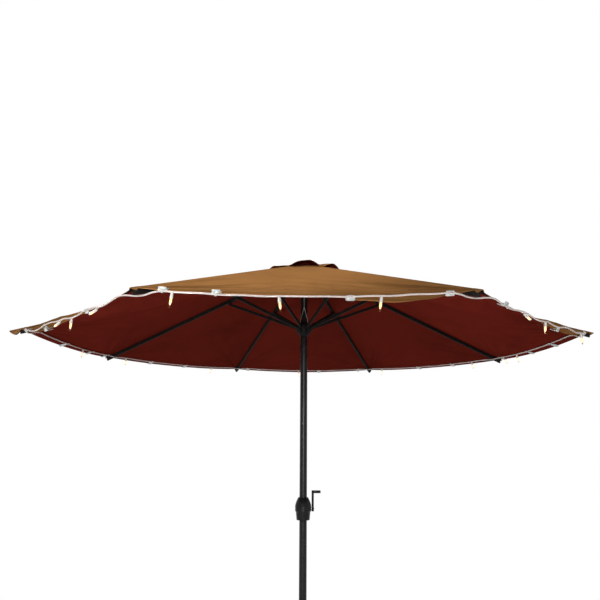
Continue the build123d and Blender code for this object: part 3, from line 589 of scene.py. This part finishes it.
# The cloth's relief on a panel: w runs from one rib to the next, r is the station's radius at the rib.
# A hem's slack is a list of (w, drop in millimetres), and the billow is a share of it that swells up again.
HEM_SLACK = {
    5: [
        (0, 0), (0.07, 12), (0.13, 21), (0.2, 27), (0.3, 28), (0.4, 25), (0.5, 17), (0.62, 11), (0.75, 9),
        (0.86, 8), (0.94, 4), (1, 0),
    ],
    6: [(0, 0), (0.1, 2), (0.5, 2), (0.58, 5), (0.66, 18), (0.76, 27), (0.85, 21), (0.93, 8), (1, 0)],
    7: [
        (0, 0), (0.06, 4), (0.14, 8), (0.25, 9), (0.38, 11), (0.5, 17), (0.6, 24), (0.7, 28), (0.8, 26),
        (0.87, 20), (0.93, 11), (1, 0),
    ],
}
TAUT_HEM = [(0, 0), (1, 0)]
SLACK_REACH = {5: 1.2, 6: 9.0, 7: 1.2}
BILLOW = {5: 1.65, 7: 1.5}
BILLOW_START = 0.026
BILLOW_PEAK = 0.085
BILLOW_END = 0.19
BELLY = {5: 0.03, 6: 0.002, 7: 0.03}
PLAIN_BELLY = 0.004
FOLD_HEIGHT = {6: 0.0036}
PLAIN_FOLD = 0.0013
UNEVEN = {6: 0.0034}
PLAIN_UNEVEN = 0.0022

# The folds that fan out from a panel's corners: for each panel how close they are and their phase, then
# where they start and end by distance and by angle. The rake is the length of cloth per metre of radius.
FOLDS = {
    1: (31, 0.4), 2: (27, 1.9), 3: (33, 2.6), 4: (29, 0.9),
    5: (34, 1.3), 6: (30, 2.2), 7: (35, 0.2), 8: (28, 1.5),
}
FOLD_GROWS = (0.06, 0.3)
FOLD_FADES = (0.5, 1.0)
FAN_OPENS = (0.02, 0.2)
FAN_CLOSES = (0.75, 1.1)
FAR_CORNER_PHASE = 1.7
CLOTH_RAKE = 1.04
SEAM_CALM = 2.5


def ease(value, low, high):
    t = min(max((value - low) / (high - low), 0.0), 1.0)
    return t * t * (3 - 2 * t)


def fade(value, low, high):
    return 1 - ease(value, low, high)


def hem_slack(panel, w):
    """How far a slack hem hangs under its plain form, in metres."""
    knots = HEM_SLACK.get(panel, TAUT_HEM)
    for (a, first), (b, second) in zip(knots, knots[1:]):
        if a <= w <= b:
            return (first + (second - first) * ease(w, a, b)) / 1000
    return 0.0


def relief(panel, w, r):
    """Height of the cloth over its plain form: slack, tension folds from the corners, soft unevenness."""
    from_hem = TIP_R - r
    share = max((r - CANOPY_TOP_R) / (TIP_R - CANOPY_TOP_R), 0.0)
    edge = sin(pi * w)
    slack = hem_slack(panel, w)
    hang = slack * share ** SLACK_REACH.get(panel, 1.0)
    hang += BELLY.get(panel, PLAIN_BELLY) * edge * sin(pi * min(share, 1.0))
    swell = ease(from_hem, BILLOW_START, BILLOW_PEAK) * fade(from_hem, BILLOW_PEAK, BILLOW_END)
    hang -= BILLOW.get(panel, 0.0) * slack * swell
    height = 0.0
    count, phase = FOLDS[panel]
    sideways = 2 * r * sin(HALF)
    for corner, sign in ((0, 1), (1, -1)):
        x = (w - corner) * sign * sideways + from_hem * sin(HALF)
        y = from_hem * CLOTH_RAKE
        reach = hypot(x, y)
        angle = atan2(y, x)
        strength = ease(reach, *FOLD_GROWS) * fade(reach, *FOLD_FADES)
        fan = ease(angle, *FAN_OPENS) * fade(angle, *FAN_CLOSES)
        wave = sin(count * angle + phase + corner * FAR_CORNER_PHASE)
        height += FOLD_HEIGHT.get(panel, PLAIN_FOLD) * strength * fan * wave
    spot = Vector((w * 2.3 + panel * 7.1, r * 3.1, panel * 1.37))
    height += UNEVEN.get(panel, PLAIN_UNEVEN) * edge * noise.noise(spot)
    return height * min(1.0, edge * SEAM_CALM) - hang


def panel_of(number, side, share):
    """The panel beside a rib, and the place across it, for a share of the way to the panel's middle."""
    if side > 0:
        return number, share / 2
    return (number - 2) % 8 + 1, 1 - share / 2


def canopy_underside(number, side, across, r):
    share = min(across / (r * sin(HALF)), 1.0)
    panel, w = panel_of(number, side, share)
    fall = HEM_SAG * (r - CANOPY_TOP_R) / (TIP_R - CANOPY_TOP_R) * (2 * share - share * share)
    height = HUB_LINE_Z - r * SLOPE - fall + relief(panel, w, r)
    return Vector((r, 0, height)) + hem_frame(side)[0] * across


# The vent's arches between the ribs: for each panel the height, the place of the peak and its sharpness
ARCHES = {
    1: (0.026, 0.5, 1.1), 2: (0.02, 0.5, 1.1), 3: (0.022, 0.5, 1.1), 4: (0.024, 0.5, 1.1),
    5: (0.02, 0.45, 1.3), 6: (0.036, 0.58, 1.35), 7: (0.036, 0.5, 2.4), 8: (0.03, 0.5, 1.3),
}
ARCH_GROWTH = 1.4
LIP_HEIGHT = 0.004
LIP_START = 0.8


def vent_underside(number, side, across, r):
    share = min(across / (r * sin(HALF)), 1.0)
    panel, w = panel_of(number, side, share)
    along_rib = (r - VENT_INNER_R) / (VENT_R - VENT_INNER_R)
    line = VENT_INNER_Z + (VENT_OUTER_Z - VENT_INNER_Z) * along_rib
    height, peak, point = ARCHES[panel]
    bent = w / peak / 2 if w < peak else 1 - (1 - w) / (1 - peak) / 2
    arch = height * along_rib**ARCH_GROWTH * max(sin(pi * bent), 0.0) ** point
    lip = LIP_HEIGHT * ease(along_rib, LIP_START, 1.0) * sin(pi * w) * sin(3 * pi * w + panel)
    return Vector((r, 0, line + arch + lip)) + hem_frame(side)[0] * across


# Thickness of the cloth and of its extra layers at the hem and beside the seam, each with the two distances
# between which it ends
CANOPY_LAYERS = (CLOTH, (0.0007, 0.0205, 0.022), (0.0009, 0.012, 0.0132))
VENT_LAYERS = (0.0012, (0.0006, 0.0125, 0.014), (0.0007, 0.012, 0.0135))


def thickness(layers, from_hem, across):
    plain, (hem, *hem_end), (seam, *seam_end) = layers
    return plain + hem * fade(from_hem, *hem_end) + seam * fade(across, *seam_end)


# Where the sheets have their rows, from the hem upwards, and their columns
CANOPY_ROWS = [TIP_R - d for d in (0, 0.0028, 0.0202, 0.0222)]
CANOPY_ROWS += np.linspace(TIP_R - 0.038, CANOPY_TOP_R + 0.018, 68).tolist() + [CANOPY_TOP_R]
VENT_ROWS = [VENT_R - d for d in (0, 0.0022, 0.0124, 0.0142)]
VENT_ROWS += np.linspace(VENT_R - 0.024, CROWN_R + 0.012, 14).tolist() + [CROWN_R]
CROWN_ROWS = np.linspace(CROWN_R, VENT_INNER_R, 9).tolist()
CROWN_STEPS = np.linspace(-1, 1, 11).tolist()
WING_SHARES = np.linspace(0, 1, 30).tolist()
SEAM_STEPS = [-1, -0.93, -0.62, -0.55, -0.3, 0, 0.3, 0.55, 0.62, 0.93, 1]

# The tab of the seam strip past the corner: its length, and how its end rounds off and curls down
TAB_REACH = {5: 0.042}
PLAIN_TAB = 0.015
TAB_SHARES = [1.0, 0.98, 0.93, 0.84, 0.72, 0.6, 0.4, 0.2]
TAB_STRAIGHT = 0.4
TAB_ROUND = 0.92
TAB_CURL = 0.45
TAB_CURL_SHARE = 0.35

# Points of the vent's crown by the pole at its inner end and on the rib at its outer end
CROWN_START = Vector((0.027, 0, 2.43))
CROWN_END = Vector((CROWN_R, 0, 2.42))


def cloth_cell(point, layers, from_hem, side, across):
    """Upper point, lower point and map place of the cloth over a point of its underside."""
    top = point + UP * thickness(layers, from_hem, across)
    return top, point, (side * across, from_hem / cos(RIB_ANGLE))


def wing_grid(number, side, seam, rows, under, layers):
    """Grid of the cloth from a seam strip to the panel's middle."""

    def place(r, share):
        across = seam + share * (r * sin(HALF) - seam)
        point = under(number, side, across, r)
        return cloth_cell(point, layers, rows[0] - r, side, across)

    return sheet_grid(rows, WING_SHARES, place)


def seam_grid(number, seam, rows, under, layers):
    """Grid of the seam strip that lies over a rib."""
    reach = TAB_REACH.get(number, PLAIN_TAB)

    def place(r, step):
        out_share = max(r - TIP_R, 0.0) / reach
        rounding = max(0.0, (out_share - TAB_STRAIGHT) / (1 - TAB_STRAIGHT))
        across = abs(step) * min(seam, r * sin(HALF)) * sqrt(1 - TAB_ROUND * rounding**2)
        side = side_of(step)
        curl = TAB_CURL * reach * (across / seam) ** 2 * ease(out_share, 0.0, TAB_CURL_SHARE)
        point = under(number, side, across, r) - UP * curl
        return cloth_cell(point, layers, min(rows[0], TIP_R) - r, side, across)

    return sheet_grid(rows, SEAM_STEPS, place)


def crown_grid(number):
    """Grid of the vent's inner end, which closes in on the cap."""

    def place(r, step):
        side = side_of(step)
        across = abs(step) * r * sin(HALF)
        point = vent_underside(number, side, across, r)
        return cloth_cell(point, VENT_LAYERS, VENT_R - r, side, across)

    return sheet_grid(CROWN_ROWS, CROWN_STEPS, place)


def gather(obj):
    """Gives a piece a mesh of its own."""
    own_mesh(obj)


def declare_cloth(grid):
    area = sheet_area(grid[0])


def build_layer(number, kind, under, layers, rows, tab, seam, finish):
    """One layer of cloth on a rib: the seam strip over it and a wing on each side."""
    rib = f"rib_{number}"
    grid = seam_grid(number, seam, tab + rows, under, layers)
    strip = sheet_object(f"{kind}_seam_{number}", number, grid, finish)
    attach(strip, rib)
    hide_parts(f"canopy_{number}")
    declare_cloth(grid)
    for side, word in ((-1, "before"), (1, "after")):
        grid = wing_grid(number, side, seam, rows, under, layers)
        wing = sheet_object(f"{kind}_{word}_{number}", number, grid, finish)
        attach(wing, rib)
        gather(wing)
        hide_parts(f"canopy_{number}")
        declare_cloth(grid)


def build_crown(number):
    grid = crown_grid(number)
    crown = sheet_object(f"vent_crown_{number}", number, grid, [cloth_outer, vent_inner])
    start, end = [tuple(turn(number) @ spot) for spot in (CROWN_START, CROWN_END)]
    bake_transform(crown)
    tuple(start)
    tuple(end)
    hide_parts(f"canopy_{number}")
    declare_cloth(grid)


def build_cloth(number):
    tab = [TIP_R + share * TAB_REACH.get(number, PLAIN_TAB) for share in TAB_SHARES]
    build_layer(
        number, "canopy", canopy_underside, CANOPY_LAYERS, CANOPY_ROWS, tab,
        seam=SEAM_HALF, finish=[cloth_outer, cloth_inner],
    )
    build_layer(
        number, "vent", vent_underside, VENT_LAYERS, VENT_ROWS, [],
        seam=VENT_SEAM_HALF, finish=[cloth_outer, vent_inner],
    )
    build_crown(number)


# The corner pocket's stations: the distance in from the tip, half the width, and the depth under the canopy
POCKET_STATIONS = [
    (-0.0012, 0.004, 0.004), (0, 0.009, 0.012), (0.002, 0.012, 0.0215), (0.005, 0.0145, 0.0226),
    (0.014, 0.0155, 0.0222), (0.025, 0.0165, 0.022), (0.037, 0.0175, 0.0222), (0.049, 0.0185, 0.0226),
    (0.054, 0.019, 0.023), (0.055, 0.0191, 0.0237), (0.0575, 0.0192, 0.0237),
]
POCKET_STEPS = np.linspace(-1, 1, 17).tolist()
POCKET_GAP = 0.0006
POCKET_CLOTH = 0.0009
POCKET_EDGE_CLOTH = 0.4
POCKET_BEND = 3.2
POCKET_PINCH = 0.14


def build_pocket(number):
    """The stiff cloth pocket under the canopy's corner that holds the rib's end."""

    def place(station, step):
        inset, half, depth = station
        r = TIP_R - inset
        shape = abs(step)
        drop = POCKET_GAP + (1 - shape**POCKET_BEND) * depth
        across = half * step * (1 - POCKET_PINCH + POCKET_PINCH * shape)
        top = canopy_underside(number, side_of(step), abs(across), r) - UP * drop
        sideways = POCKET_CLOTH * copysign(shape**2, -step)
        down = POCKET_CLOTH * (1 - (1 - POCKET_EDGE_CLOTH) * shape)
        return top, top - Vector((0, sideways, down)), (across, inset)

    grid = sheet_grid(POCKET_STATIONS, POCKET_STEPS, place)
    pocket = sheet_object(f"corner_pocket_{number}", number, grid, [pocket_cloth, pocket_cloth])
    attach(pocket, f"rib_{number}")
    declare_cloth(grid)


# Lamps and clips on the string
def fix_on_hem(obj, number, node):
    """A hard piece on the hem keeps its shape and goes with its rib."""
    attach(obj, f"rib_{number}")
    gather(obj)
    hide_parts(f"{node}_{number}")


def nearest_on(points, distance):
    """Number of the string's point that is beside a place on the hem."""
    side = side_of(distance)
    along = hem_frame(side)[0]
    corner = Vector((TIP_R, 0, HEM_Z))
    beside = [i for i, point in enumerate(points) if point.y * side >= 0]
    return min(beside, key=lambda i: abs((points[i] - corner).dot(along) - abs(distance)))


def facing(origin, way):
    """Matrix of a frame at the origin with Z along the way."""
    return Matrix.Translation(origin) @ way.to_track_quat("Z", "Y").to_matrix().to_4x4()


# Profiles of a lamp, as (radius, distance from the cord's end of the holder)
HOLDER_PROFILE = [
    (0, 0.0), (0.003, 0.0), (0.0042, 0.0008), (0.0044, 0.0024), (0.0044, 0.0052), (0.005, 0.0058),
    (0.005, 0.007), (0.0045, 0.0076), (0.0048, 0.011), (0.005, 0.0138), (0.0055, 0.0144),
    (0.0055, 0.0172), (0.0052, 0.0178), (0.0042, 0.0178), (0.0041, 0.0142), (0, 0.0142),
]
GLASS_PROFILE = [
    (0, 0.0147), (0.0036, 0.0147), (0.0039, 0.017), (0.004, 0.023), (0.004, 0.03), (0.0037, 0.0345),
    (0.0031, 0.0385), (0.0022, 0.0415), (0.0012, 0.0438), (0.0005, 0.0448), (0, 0.045),
]
GLOW_PROFILE = [
    (0, 0.0155), (0.0014, 0.0158), (0.0024, 0.019), (0.003, 0.024), (0.0028, 0.03), (0.0016, 0.0355),
    (0, 0.039),
]

# The two wires from the cord into a holder: where they leave the cord, by its points, and how they bend
LEAD_R = 0.0011
LEAD_LEAVES = ((-7, -4), (7, 3))
LEAD_DROP = 0.0022
LEAD_DEPTH = 0.003
LEAD_STRAIGHT = 0.005


def build_lamp(number, order, points, place, lean_along, lean_out):
    distance = place * HALF_EDGE
    side = side_of(distance)
    along, out = hem_frame(side)
    way = along * (side * tan(radians(lean_along))) + out * tan(radians(lean_out)) - UP
    way.normalize()
    near = nearest_on(points, distance)
    on_cord = points[near]
    hang = CORD_R + HOLDER_GAP + HOLDER_TOP_R * sqrt(1 - way.z**2)
    top = on_cord - UP * hang
    spin = turn(number)
    stand = spin @ facing(top, way)
    entry = top + way * LEAD_DEPTH
    leads = []
    for shifts in LEAD_LEAVES:
        start, leave = [points[max(0, min(near + shift, len(points) - 1))] for shift in shifts]
        route = spline_points([start, leave - UP * LEAD_DROP, entry - way * LEAD_STRAIGHT, entry], 8)
        leads.append(placed(tube(route, LEAD_R, 6, aim=out), spin))
    body = placed(lathe(HOLDER_PROFILE, 24), stand)
    holder = add_two_tone(
        f"lamp_holder_{number}_{order}", body, leads, [holder_white, wire_white], crisp=40,
    )
    fix_on_hem(holder, number, "light_string")
    glass = placed(lathe(GLASS_PROFILE, 20), stand)
    glow = placed(lathe(GLOW_PROFILE, 10), stand)
    bulb = add_two_tone(f"lamp_bulb_{number}_{order}", glass, [glow], [bulb_glass, filament_glow])
    fix_on_hem(bulb, number, "bulbs")
    return holder


# Details of a hem clip: plates and bridge, raised rims and pads, face tab, hook and arm
CLIP_LIP = 0.0006
CLIP_TAPER = 0.0012
CLIP_BRIDGE_IN = 0.0006
CLIP_BRIDGE_CUT = 0.001
CLIP_PINCH_AT = 0.004
CLIP_PINCH = 0.0004
CLIP_ROUND = 0.0003
RIM_WIDTH = 0.0022
RIM_INSET = 0.001
RIM_START = 0.0016
RIM_END = 0.0004
RIM_SUNK = 0.0002
RIM_RISE = 0.0008
PAD_INSET = 0.0085
PAD_HALF = 0.0042
FACE_LOW = -0.0052
FACE_HIGH = 0.0115
FACE_CUT = 0.002
FACE_THICK = 0.0014
FACE_SUNK = 0.0004
HOOK_SWEEP = 2.3
HOOK_TURNED_IN = 1.0
ARM_HALF = 0.0013
ARM_ENDS_AT = 0.82
SHORTEST_ARM = 0.001
HEM_STEP = 0.001


def ring_outline(center, inner, outer, start, end, steps=18):
    """Outline of an open ring, for a hook."""
    angles = [start + (end - start) * i / steps for i in range(steps + 1)]
    points = [(center[0] + outer * cos(a), center[1] + outer * sin(a)) for a in angles]
    points += [(center[0] + inner * cos(a), center[1] + inner * sin(a)) for a in reversed(angles)]
    return points


def cut_rectangle(left, right, low, high, cut):
    """Outline of a rectangle with its corners cut off."""
    return [
        (left + cut, low), (right - cut, low), (right, low + cut), (right, high - cut),
        (right - cut, high), (left + cut, high), (left, high - cut), (left, low + cut),
    ]


def mirrored(points):
    return [(x, -y) for x, y in reversed(points)]


def clip_plates():
    """Two plates with a bridge, raised rims and a face tab: x is out from the hem, y off the cloth."""
    half = CLIP_WIDTH / 2
    mouth = CLIP_ROOM - CLIP_DEPTH + CLIP_PLATE
    front = CLIP_ROOM + CLIP_PLATE
    low = CLIP_GAP / 2 + CLIP_LIP
    high = low + CLIP_PLATE
    upper = [(mouth, low), (mouth + CLIP_TAPER, high)]
    upper += [(CLIP_ROOM + CLIP_BRIDGE_IN, high), (front, high - CLIP_BRIDGE_CUT)]
    inner = [(mouth + CLIP_PINCH_AT, CLIP_PINCH - low), (CLIP_ROOM, -low)]
    forms = [prism(upper + mirrored(upper) + inner + mirrored(inner), -half, half)]
    edge = half - RIM_INSET
    face, polygons = prism(cut_rectangle(-edge, edge, FACE_LOW, FACE_HIGH, FACE_CUT), 0, FACE_THICK)
    forms.append(([Vector((front - FACE_SUNK + v.z, v.y, v.x)) for v in face], polygons))
    first = mouth + RIM_START
    last = CLIP_ROOM + RIM_END
    bars = (
        (first, first + RIM_WIDTH, -edge, edge),
        (last - RIM_WIDTH, last, -edge, edge),
        (first + RIM_WIDTH, last - RIM_WIDTH, -edge, RIM_WIDTH - edge),
        (first + RIM_WIDTH, last - RIM_WIDTH, edge - RIM_WIDTH, edge),
        (first + PAD_INSET, last - PAD_INSET, -PAD_HALF, PAD_HALF),
    )
    for jaw in (1, -1):
        y0, y1 = sorted((jaw * (high - RIM_SUNK), jaw * (high + RIM_RISE)))
        for x0, x1, z0, z1 in bars:
            forms.append(prism([(x0, y0), (x1, y0), (x1, y1), (x0, y1)], z0, z1))
    return forms


def clip_hook(cradle):
    """The open ring round the string, and its arm from the clip's plate or bridge."""
    inward = cradle.x < 0
    back = HOOK_TURNED_IN if inward else atan2(-cradle.y, CLIP_ROOM - cradle.x)
    outlines = [ring_outline(cradle, CRADLE_BORE, CRADLE_R, back - HOOK_SWEEP, back + HOOK_SWEEP)]
    end = cradle + Vector((cos(back), sin(back))) * CRADLE_R * ARM_ENDS_AT
    plate = Vector((-CLIP_DEPTH / 2, -CLIP_GAP / 2 - CLIP_LIP - CLIP_PLATE))
    bridge = Vector((CLIP_ROOM + CLIP_PLATE / 2, 0))
    start = plate if inward else bridge
    line = end - start
    if line.length > SHORTEST_ARM:
        beside = Vector((-line.y, line.x)).normalized() * ARM_HALF
        outlines.append([tuple(c) for c in (start + beside, start - beside, end - beside, end + beside)])
    return [prism(outline, -CRADLE_LENGTH / 2, CRADLE_LENGTH / 2) for outline in outlines]


def build_clip(number, order, points, place):
    """A spring clip on the hem that holds the string."""
    distance = place * HALF_EDGE
    side = side_of(distance)
    step = side * HEM_STEP
    tangent = (hem_point(distance + step) - hem_point(distance - step)).normalized()
    top = Vector((CANOPY_TOP_R, 0, HUB_LINE_Z - CANOPY_TOP_R * SLOPE))
    top += hem_frame(side)[0] * (abs(distance) * CANOPY_TOP_R / TIP_R)
    upward = (top - hem_point(distance)).normalized()
    normal = tangent.cross(upward).normalized() * side
    outward = tangent.cross(normal).normalized() * side
    panel, w = panel_of(number, side, abs(place))
    middle = hem_point(distance) + UP * (CLOTH / 2 + relief(panel, w, TIP_R))
    basis = Matrix((outward, normal, outward.cross(normal))).transposed().to_4x4()
    stand = turn(number) @ Matrix.Translation(middle) @ basis
    reach = points[nearest_on(points, distance)] - middle
    cradle = Vector((reach.dot(outward), reach.dot(normal)))
    form = placed(joined(clip_plates() + clip_hook(cradle)), stand)
    clip = add_object(f"hem_clip_{number}_{order}", form, [clip_plastic], crisp=50, rounding=CLIP_ROUND)
    fix_on_hem(clip, number, "light_string")


# The light cord's three wires
WIRE_R = 0.00145
WIRE_OFFSET = 0.00168
WIRE_PITCH = 0.021


def build_string(number):
    previous_run, next_run, lamps, clips = STRINGS[number - 1]
    points = spline_points(string_route(previous_run, next_run))
    spin = turn(number)
    form = placed(twisted(points, WIRE_R, 7, WIRE_OFFSET, WIRE_PITCH), spin)
    cord = add_object(f"light_cord_{number}", form, [wire_white], crisp=70)
    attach(cord, f"rib_{number}")
    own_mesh(cord)
    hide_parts(f"light_string_{number}")
    holders = [build_lamp(number, n, points, *lamp) for n, lamp in enumerate(lamps, start=1)]
    for n, place in enumerate(clips, start=1):
        build_clip(number, n, points, place)
    path = [tuple(spin @ p) for p in points]
    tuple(path[0])
    path_length(points)


# The lift cord: up inside the pole, over the pulley, down outside to a knot, and two legs to the runner
ROPE_STRAND_R = 0.0007
ROPE_OFFSET = 0.0008
ROPE_PITCH = 0.011
LIFT_Y = -0.028
DROP_TOP_Z = 2.3717
KNOT_Z = 2.185
LUG_R = 0.034
LUG = LUG_R * sin(STEP)
LUG_Z = 2.0935
EYE_Z = 2.0901
LEG_BOW_X = 0.0012
LEG_BOW_Y = -0.001
LIFT_ROUTE = [
    (0, 0.0138, 1.147), (0, 0.0134, 1.2), (0, 0.012, 1.3), (0, 0.008, 1.7), (0, 0.003, 2.1),
    (0, 0.0004, 2.34), (0, 0, 2.372), (0, 0, 2.3905), (0, -0.004, 2.398), (0, -0.014, 2.399),
    (0, -0.024, 2.398), (0, LIFT_Y, 2.3905), (0, LIFT_Y, 2.381), (0, LIFT_Y, 2.3719),
]
DROP_ROUTE = [(0, LIFT_Y, DROP_TOP_Z), (0, LIFT_Y, 2.31), (0, LIFT_Y, 2.25), (0, LIFT_Y, KNOT_Z)]
KNOT_PROFILE = [
    (0, -0.0042), (0.0022, -0.0036), (0.0034, -0.0014), (0.0035, 0.0008), (0.0026, 0.003), (0.0014, 0.0042),
    (0, 0.0046),
]
EYE_PROFILE = [
    (0, 0), (0.0026, 0), (0.0032, 0.001), (0.0032, 0.003), (0.0024, 0.0046), (0.0012, 0.0056), (0, 0.0058),
]


def build_rope(name, route, resolution, node):
    points = spline_points([Vector(p) for p in route], resolution)
    form = twisted(points, ROPE_STRAND_R, 6, ROPE_OFFSET, ROPE_PITCH, aim=Vector((1, 0, 0)))
    obj = add_object(name, form, [rope])
    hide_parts(node)
    path = [tuple(p) for p in points]
    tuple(path[0])
    path_length(points)
    return obj


def build_lift_cord():
    inside = build_rope("lift_cord_inside", LIFT_ROUTE, 40, "lift_cord_inner")
    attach(inside, "pole")
    drop = build_rope("lift_cord_drop", DROP_ROUTE, 24, "lift_cord")
    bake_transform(drop)
    knot = Vector((0, LIFT_Y, KNOT_Z))
    forms = [placed(lathe(KNOT_PROFILE, 14), Matrix.Translation(knot))]
    for side, word in ((-1, "left"), (1, "right")):
        foot = Vector((side * LUG, -LUG, LUG_Z))
        bow = Vector((side * LEG_BOW_X, LEG_BOW_Y, 0))
        route = [knot, knot.lerp(foot, 0.3) + bow, knot.lerp(foot, 0.7) + bow, foot]
        leg = build_rope(f"lift_cord_{word}", route, 16, "lift_cord")
        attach(leg, "runner")
        eye = Vector((side * LUG, -LUG, EYE_Z))
        forms.append(placed(lathe(EYE_PROFILE, 14), Matrix.Translation(eye)))
    knots = add_object("lift_cord_knots", joined(forms), [rope])
    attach(knots, "runner")
    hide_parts("lift_cord")


# Finishes of the solids that show as they are
def dress(names, material):
    for name in names:
        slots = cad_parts[name].data.materials
        slots.clear()
        slots.append(material)


dress(["lower_pole", "upper_pole"], pole_paint)
dress([f"rib_{n}" for n in RIBS] + [f"strut_{n}" for n in RIBS], frame_paint)
dress(["crank_spool", "crank_arm", "foot_plug", "top_hub", "lift_pulley", "runner"], black_plastic)
dress(["crank_housing_front", "crank_housing_rear", "top_cap", "crank_grip"], grip_plastic)
dress(["housing_screws", "crank_shaft", "rib_pins", "pulley_axle"], steel)

for number in RIBS:
    build_cloth(number)
    build_pocket(number)
    build_string(number)
build_lift_cord()

# Floor, light and camera
FLOOR_REACH = 40.0
SHADOW_SHARE = 0.45
SHADOW_START = 0.9
SHADOW_END = 2.2
SKY_STRENGTH = 0.22
WHITE = (1, 1, 1, 1)
CAMERA_PLACE = (-0.0144, -2.763, 1.584)
CAMERA_PAN = radians(0.18)
CAMERA_TILT = radians(90 + 13.274)
CAMERA_ROLL = radians(0.388)


def build_floor():
    """A pale floor that keeps the shadow near the foot and turns to white further out."""
    look = Look("pale_floor")
    space = look.object_space()
    grain = look.noise(space, 14, detail=4)
    pale = look.ramp(grain, (0.3, (0.8, 0.8, 0.8)), (0.7, (0.86, 0.86, 0.86)))
    look.set(Base_Color=pale, Roughness=0.9)
    far = look.node("ShaderNodeVectorMath", {0: space}, operation="LENGTH").outputs["Value"]
    whiter = look.span(far, SHADOW_START, SHADOW_END, SHADOW_SHARE, 1)
    factor = look.times(look.seen_directly(), whiter)
    white = look.node("ShaderNodeEmission", {"Color": WHITE, "Strength": 1})
    shaders = {0: factor, 1: look.shader.outputs[0], 2: white.outputs[0]}
    blend = look.node("ShaderNodeMixShader", shaders)
    look.put(look.tree.nodes["Material Output"].inputs["Surface"], blend.outputs[0])
    corners = [(x * FLOOR_REACH, y * FLOOR_REACH, 0) for x, y in ((-1, -1), (1, -1), (1, 1), (-1, 1))]
    add_object("floor", (corners, [[0, 1, 2, 3]]), [look.material])


def build_world():
    """Soft light that is darker overhead, and plain white behind the parasol."""
    world = bpy.data.worlds.new("studio")
    scene.world = world
    world.use_nodes = True
    world.node_tree.nodes.clear()
    sky = Nodes(world.node_tree)
    way = sky.node("ShaderNodeTexCoord").outputs["Generated"]
    height = sky.node("ShaderNodeSeparateXYZ", {0: way}).outputs["Z"]
    shade = sky.ramp(height, (0, (0.95, 0.95, 0.95)), (0.55, (0.22, 0.22, 0.22)))
    soft = sky.node("ShaderNodeBackground", {"Color": shade, "Strength": SKY_STRENGTH})
    plain = sky.node("ShaderNodeBackground", {"Color": WHITE, "Strength": 1})
    shaders = {0: sky.seen_directly(), 1: soft.outputs[0], 2: plain.outputs[0]}
    blend = sky.node("ShaderNodeMixShader", shaders)
    sky.node("ShaderNodeOutputWorld", {"Surface": blend.outputs[0]})


def area_light(name, place, aim, size, power, spread=180, glossy=True):
    light = bpy.data.lights.new(name, "AREA")
    light.spread = radians(spread)
    light.shape = "RECTANGLE"
    light.size, light.size_y = size
    light.energy = power
    obj = bpy.data.objects.new(name, light)
    obj.location = place
    obj.rotation_euler = (Vector(aim) - Vector(place)).to_track_quat("-Z", "Y").to_euler()
    obj.visible_camera = False
    obj.visible_glossy = glossy
    scene.collection.objects.link(obj)


def build_camera():
    camera = bpy.data.cameras.new("camera")
    camera.sensor_width = 36
    camera.lens = 30.6
    viewer = bpy.data.objects.new("camera", camera)
    stand = Matrix.Translation(CAMERA_PLACE)
    for angle, axis in ((CAMERA_PAN, "Z"), (CAMERA_TILT, "X"), (CAMERA_ROLL, "Z")):
        stand = stand @ Matrix.Rotation(angle, 4, axis)
    viewer.matrix_world = stand
    scene.collection.objects.link(viewer)
    scene.camera = viewer


build_floor()
build_world()
area_light("top", (0, -0.4, 7), (0, 0, 2.2), size=(6, 6), power=170)
area_light("front", (-3.6, -5.8, 3.1), (-0.16, -0.7, 2.18), size=(0.5, 0.4), power=3.1, spread=13)
area_light("fill", (0, -14, 1.6), (0, 0, 1.9), size=(4, 1.5), power=950)
area_light("rear", (-1.8, 5.2, 1), (0, -0.6, 2), size=(5, 1.2), power=260, glossy=False)
area_light("bounce", (-0.6, -2.3, 0.03), (0.2, -0.9, 2.2), size=(2.4, 1.2), power=95, glossy=False)
build_camera()
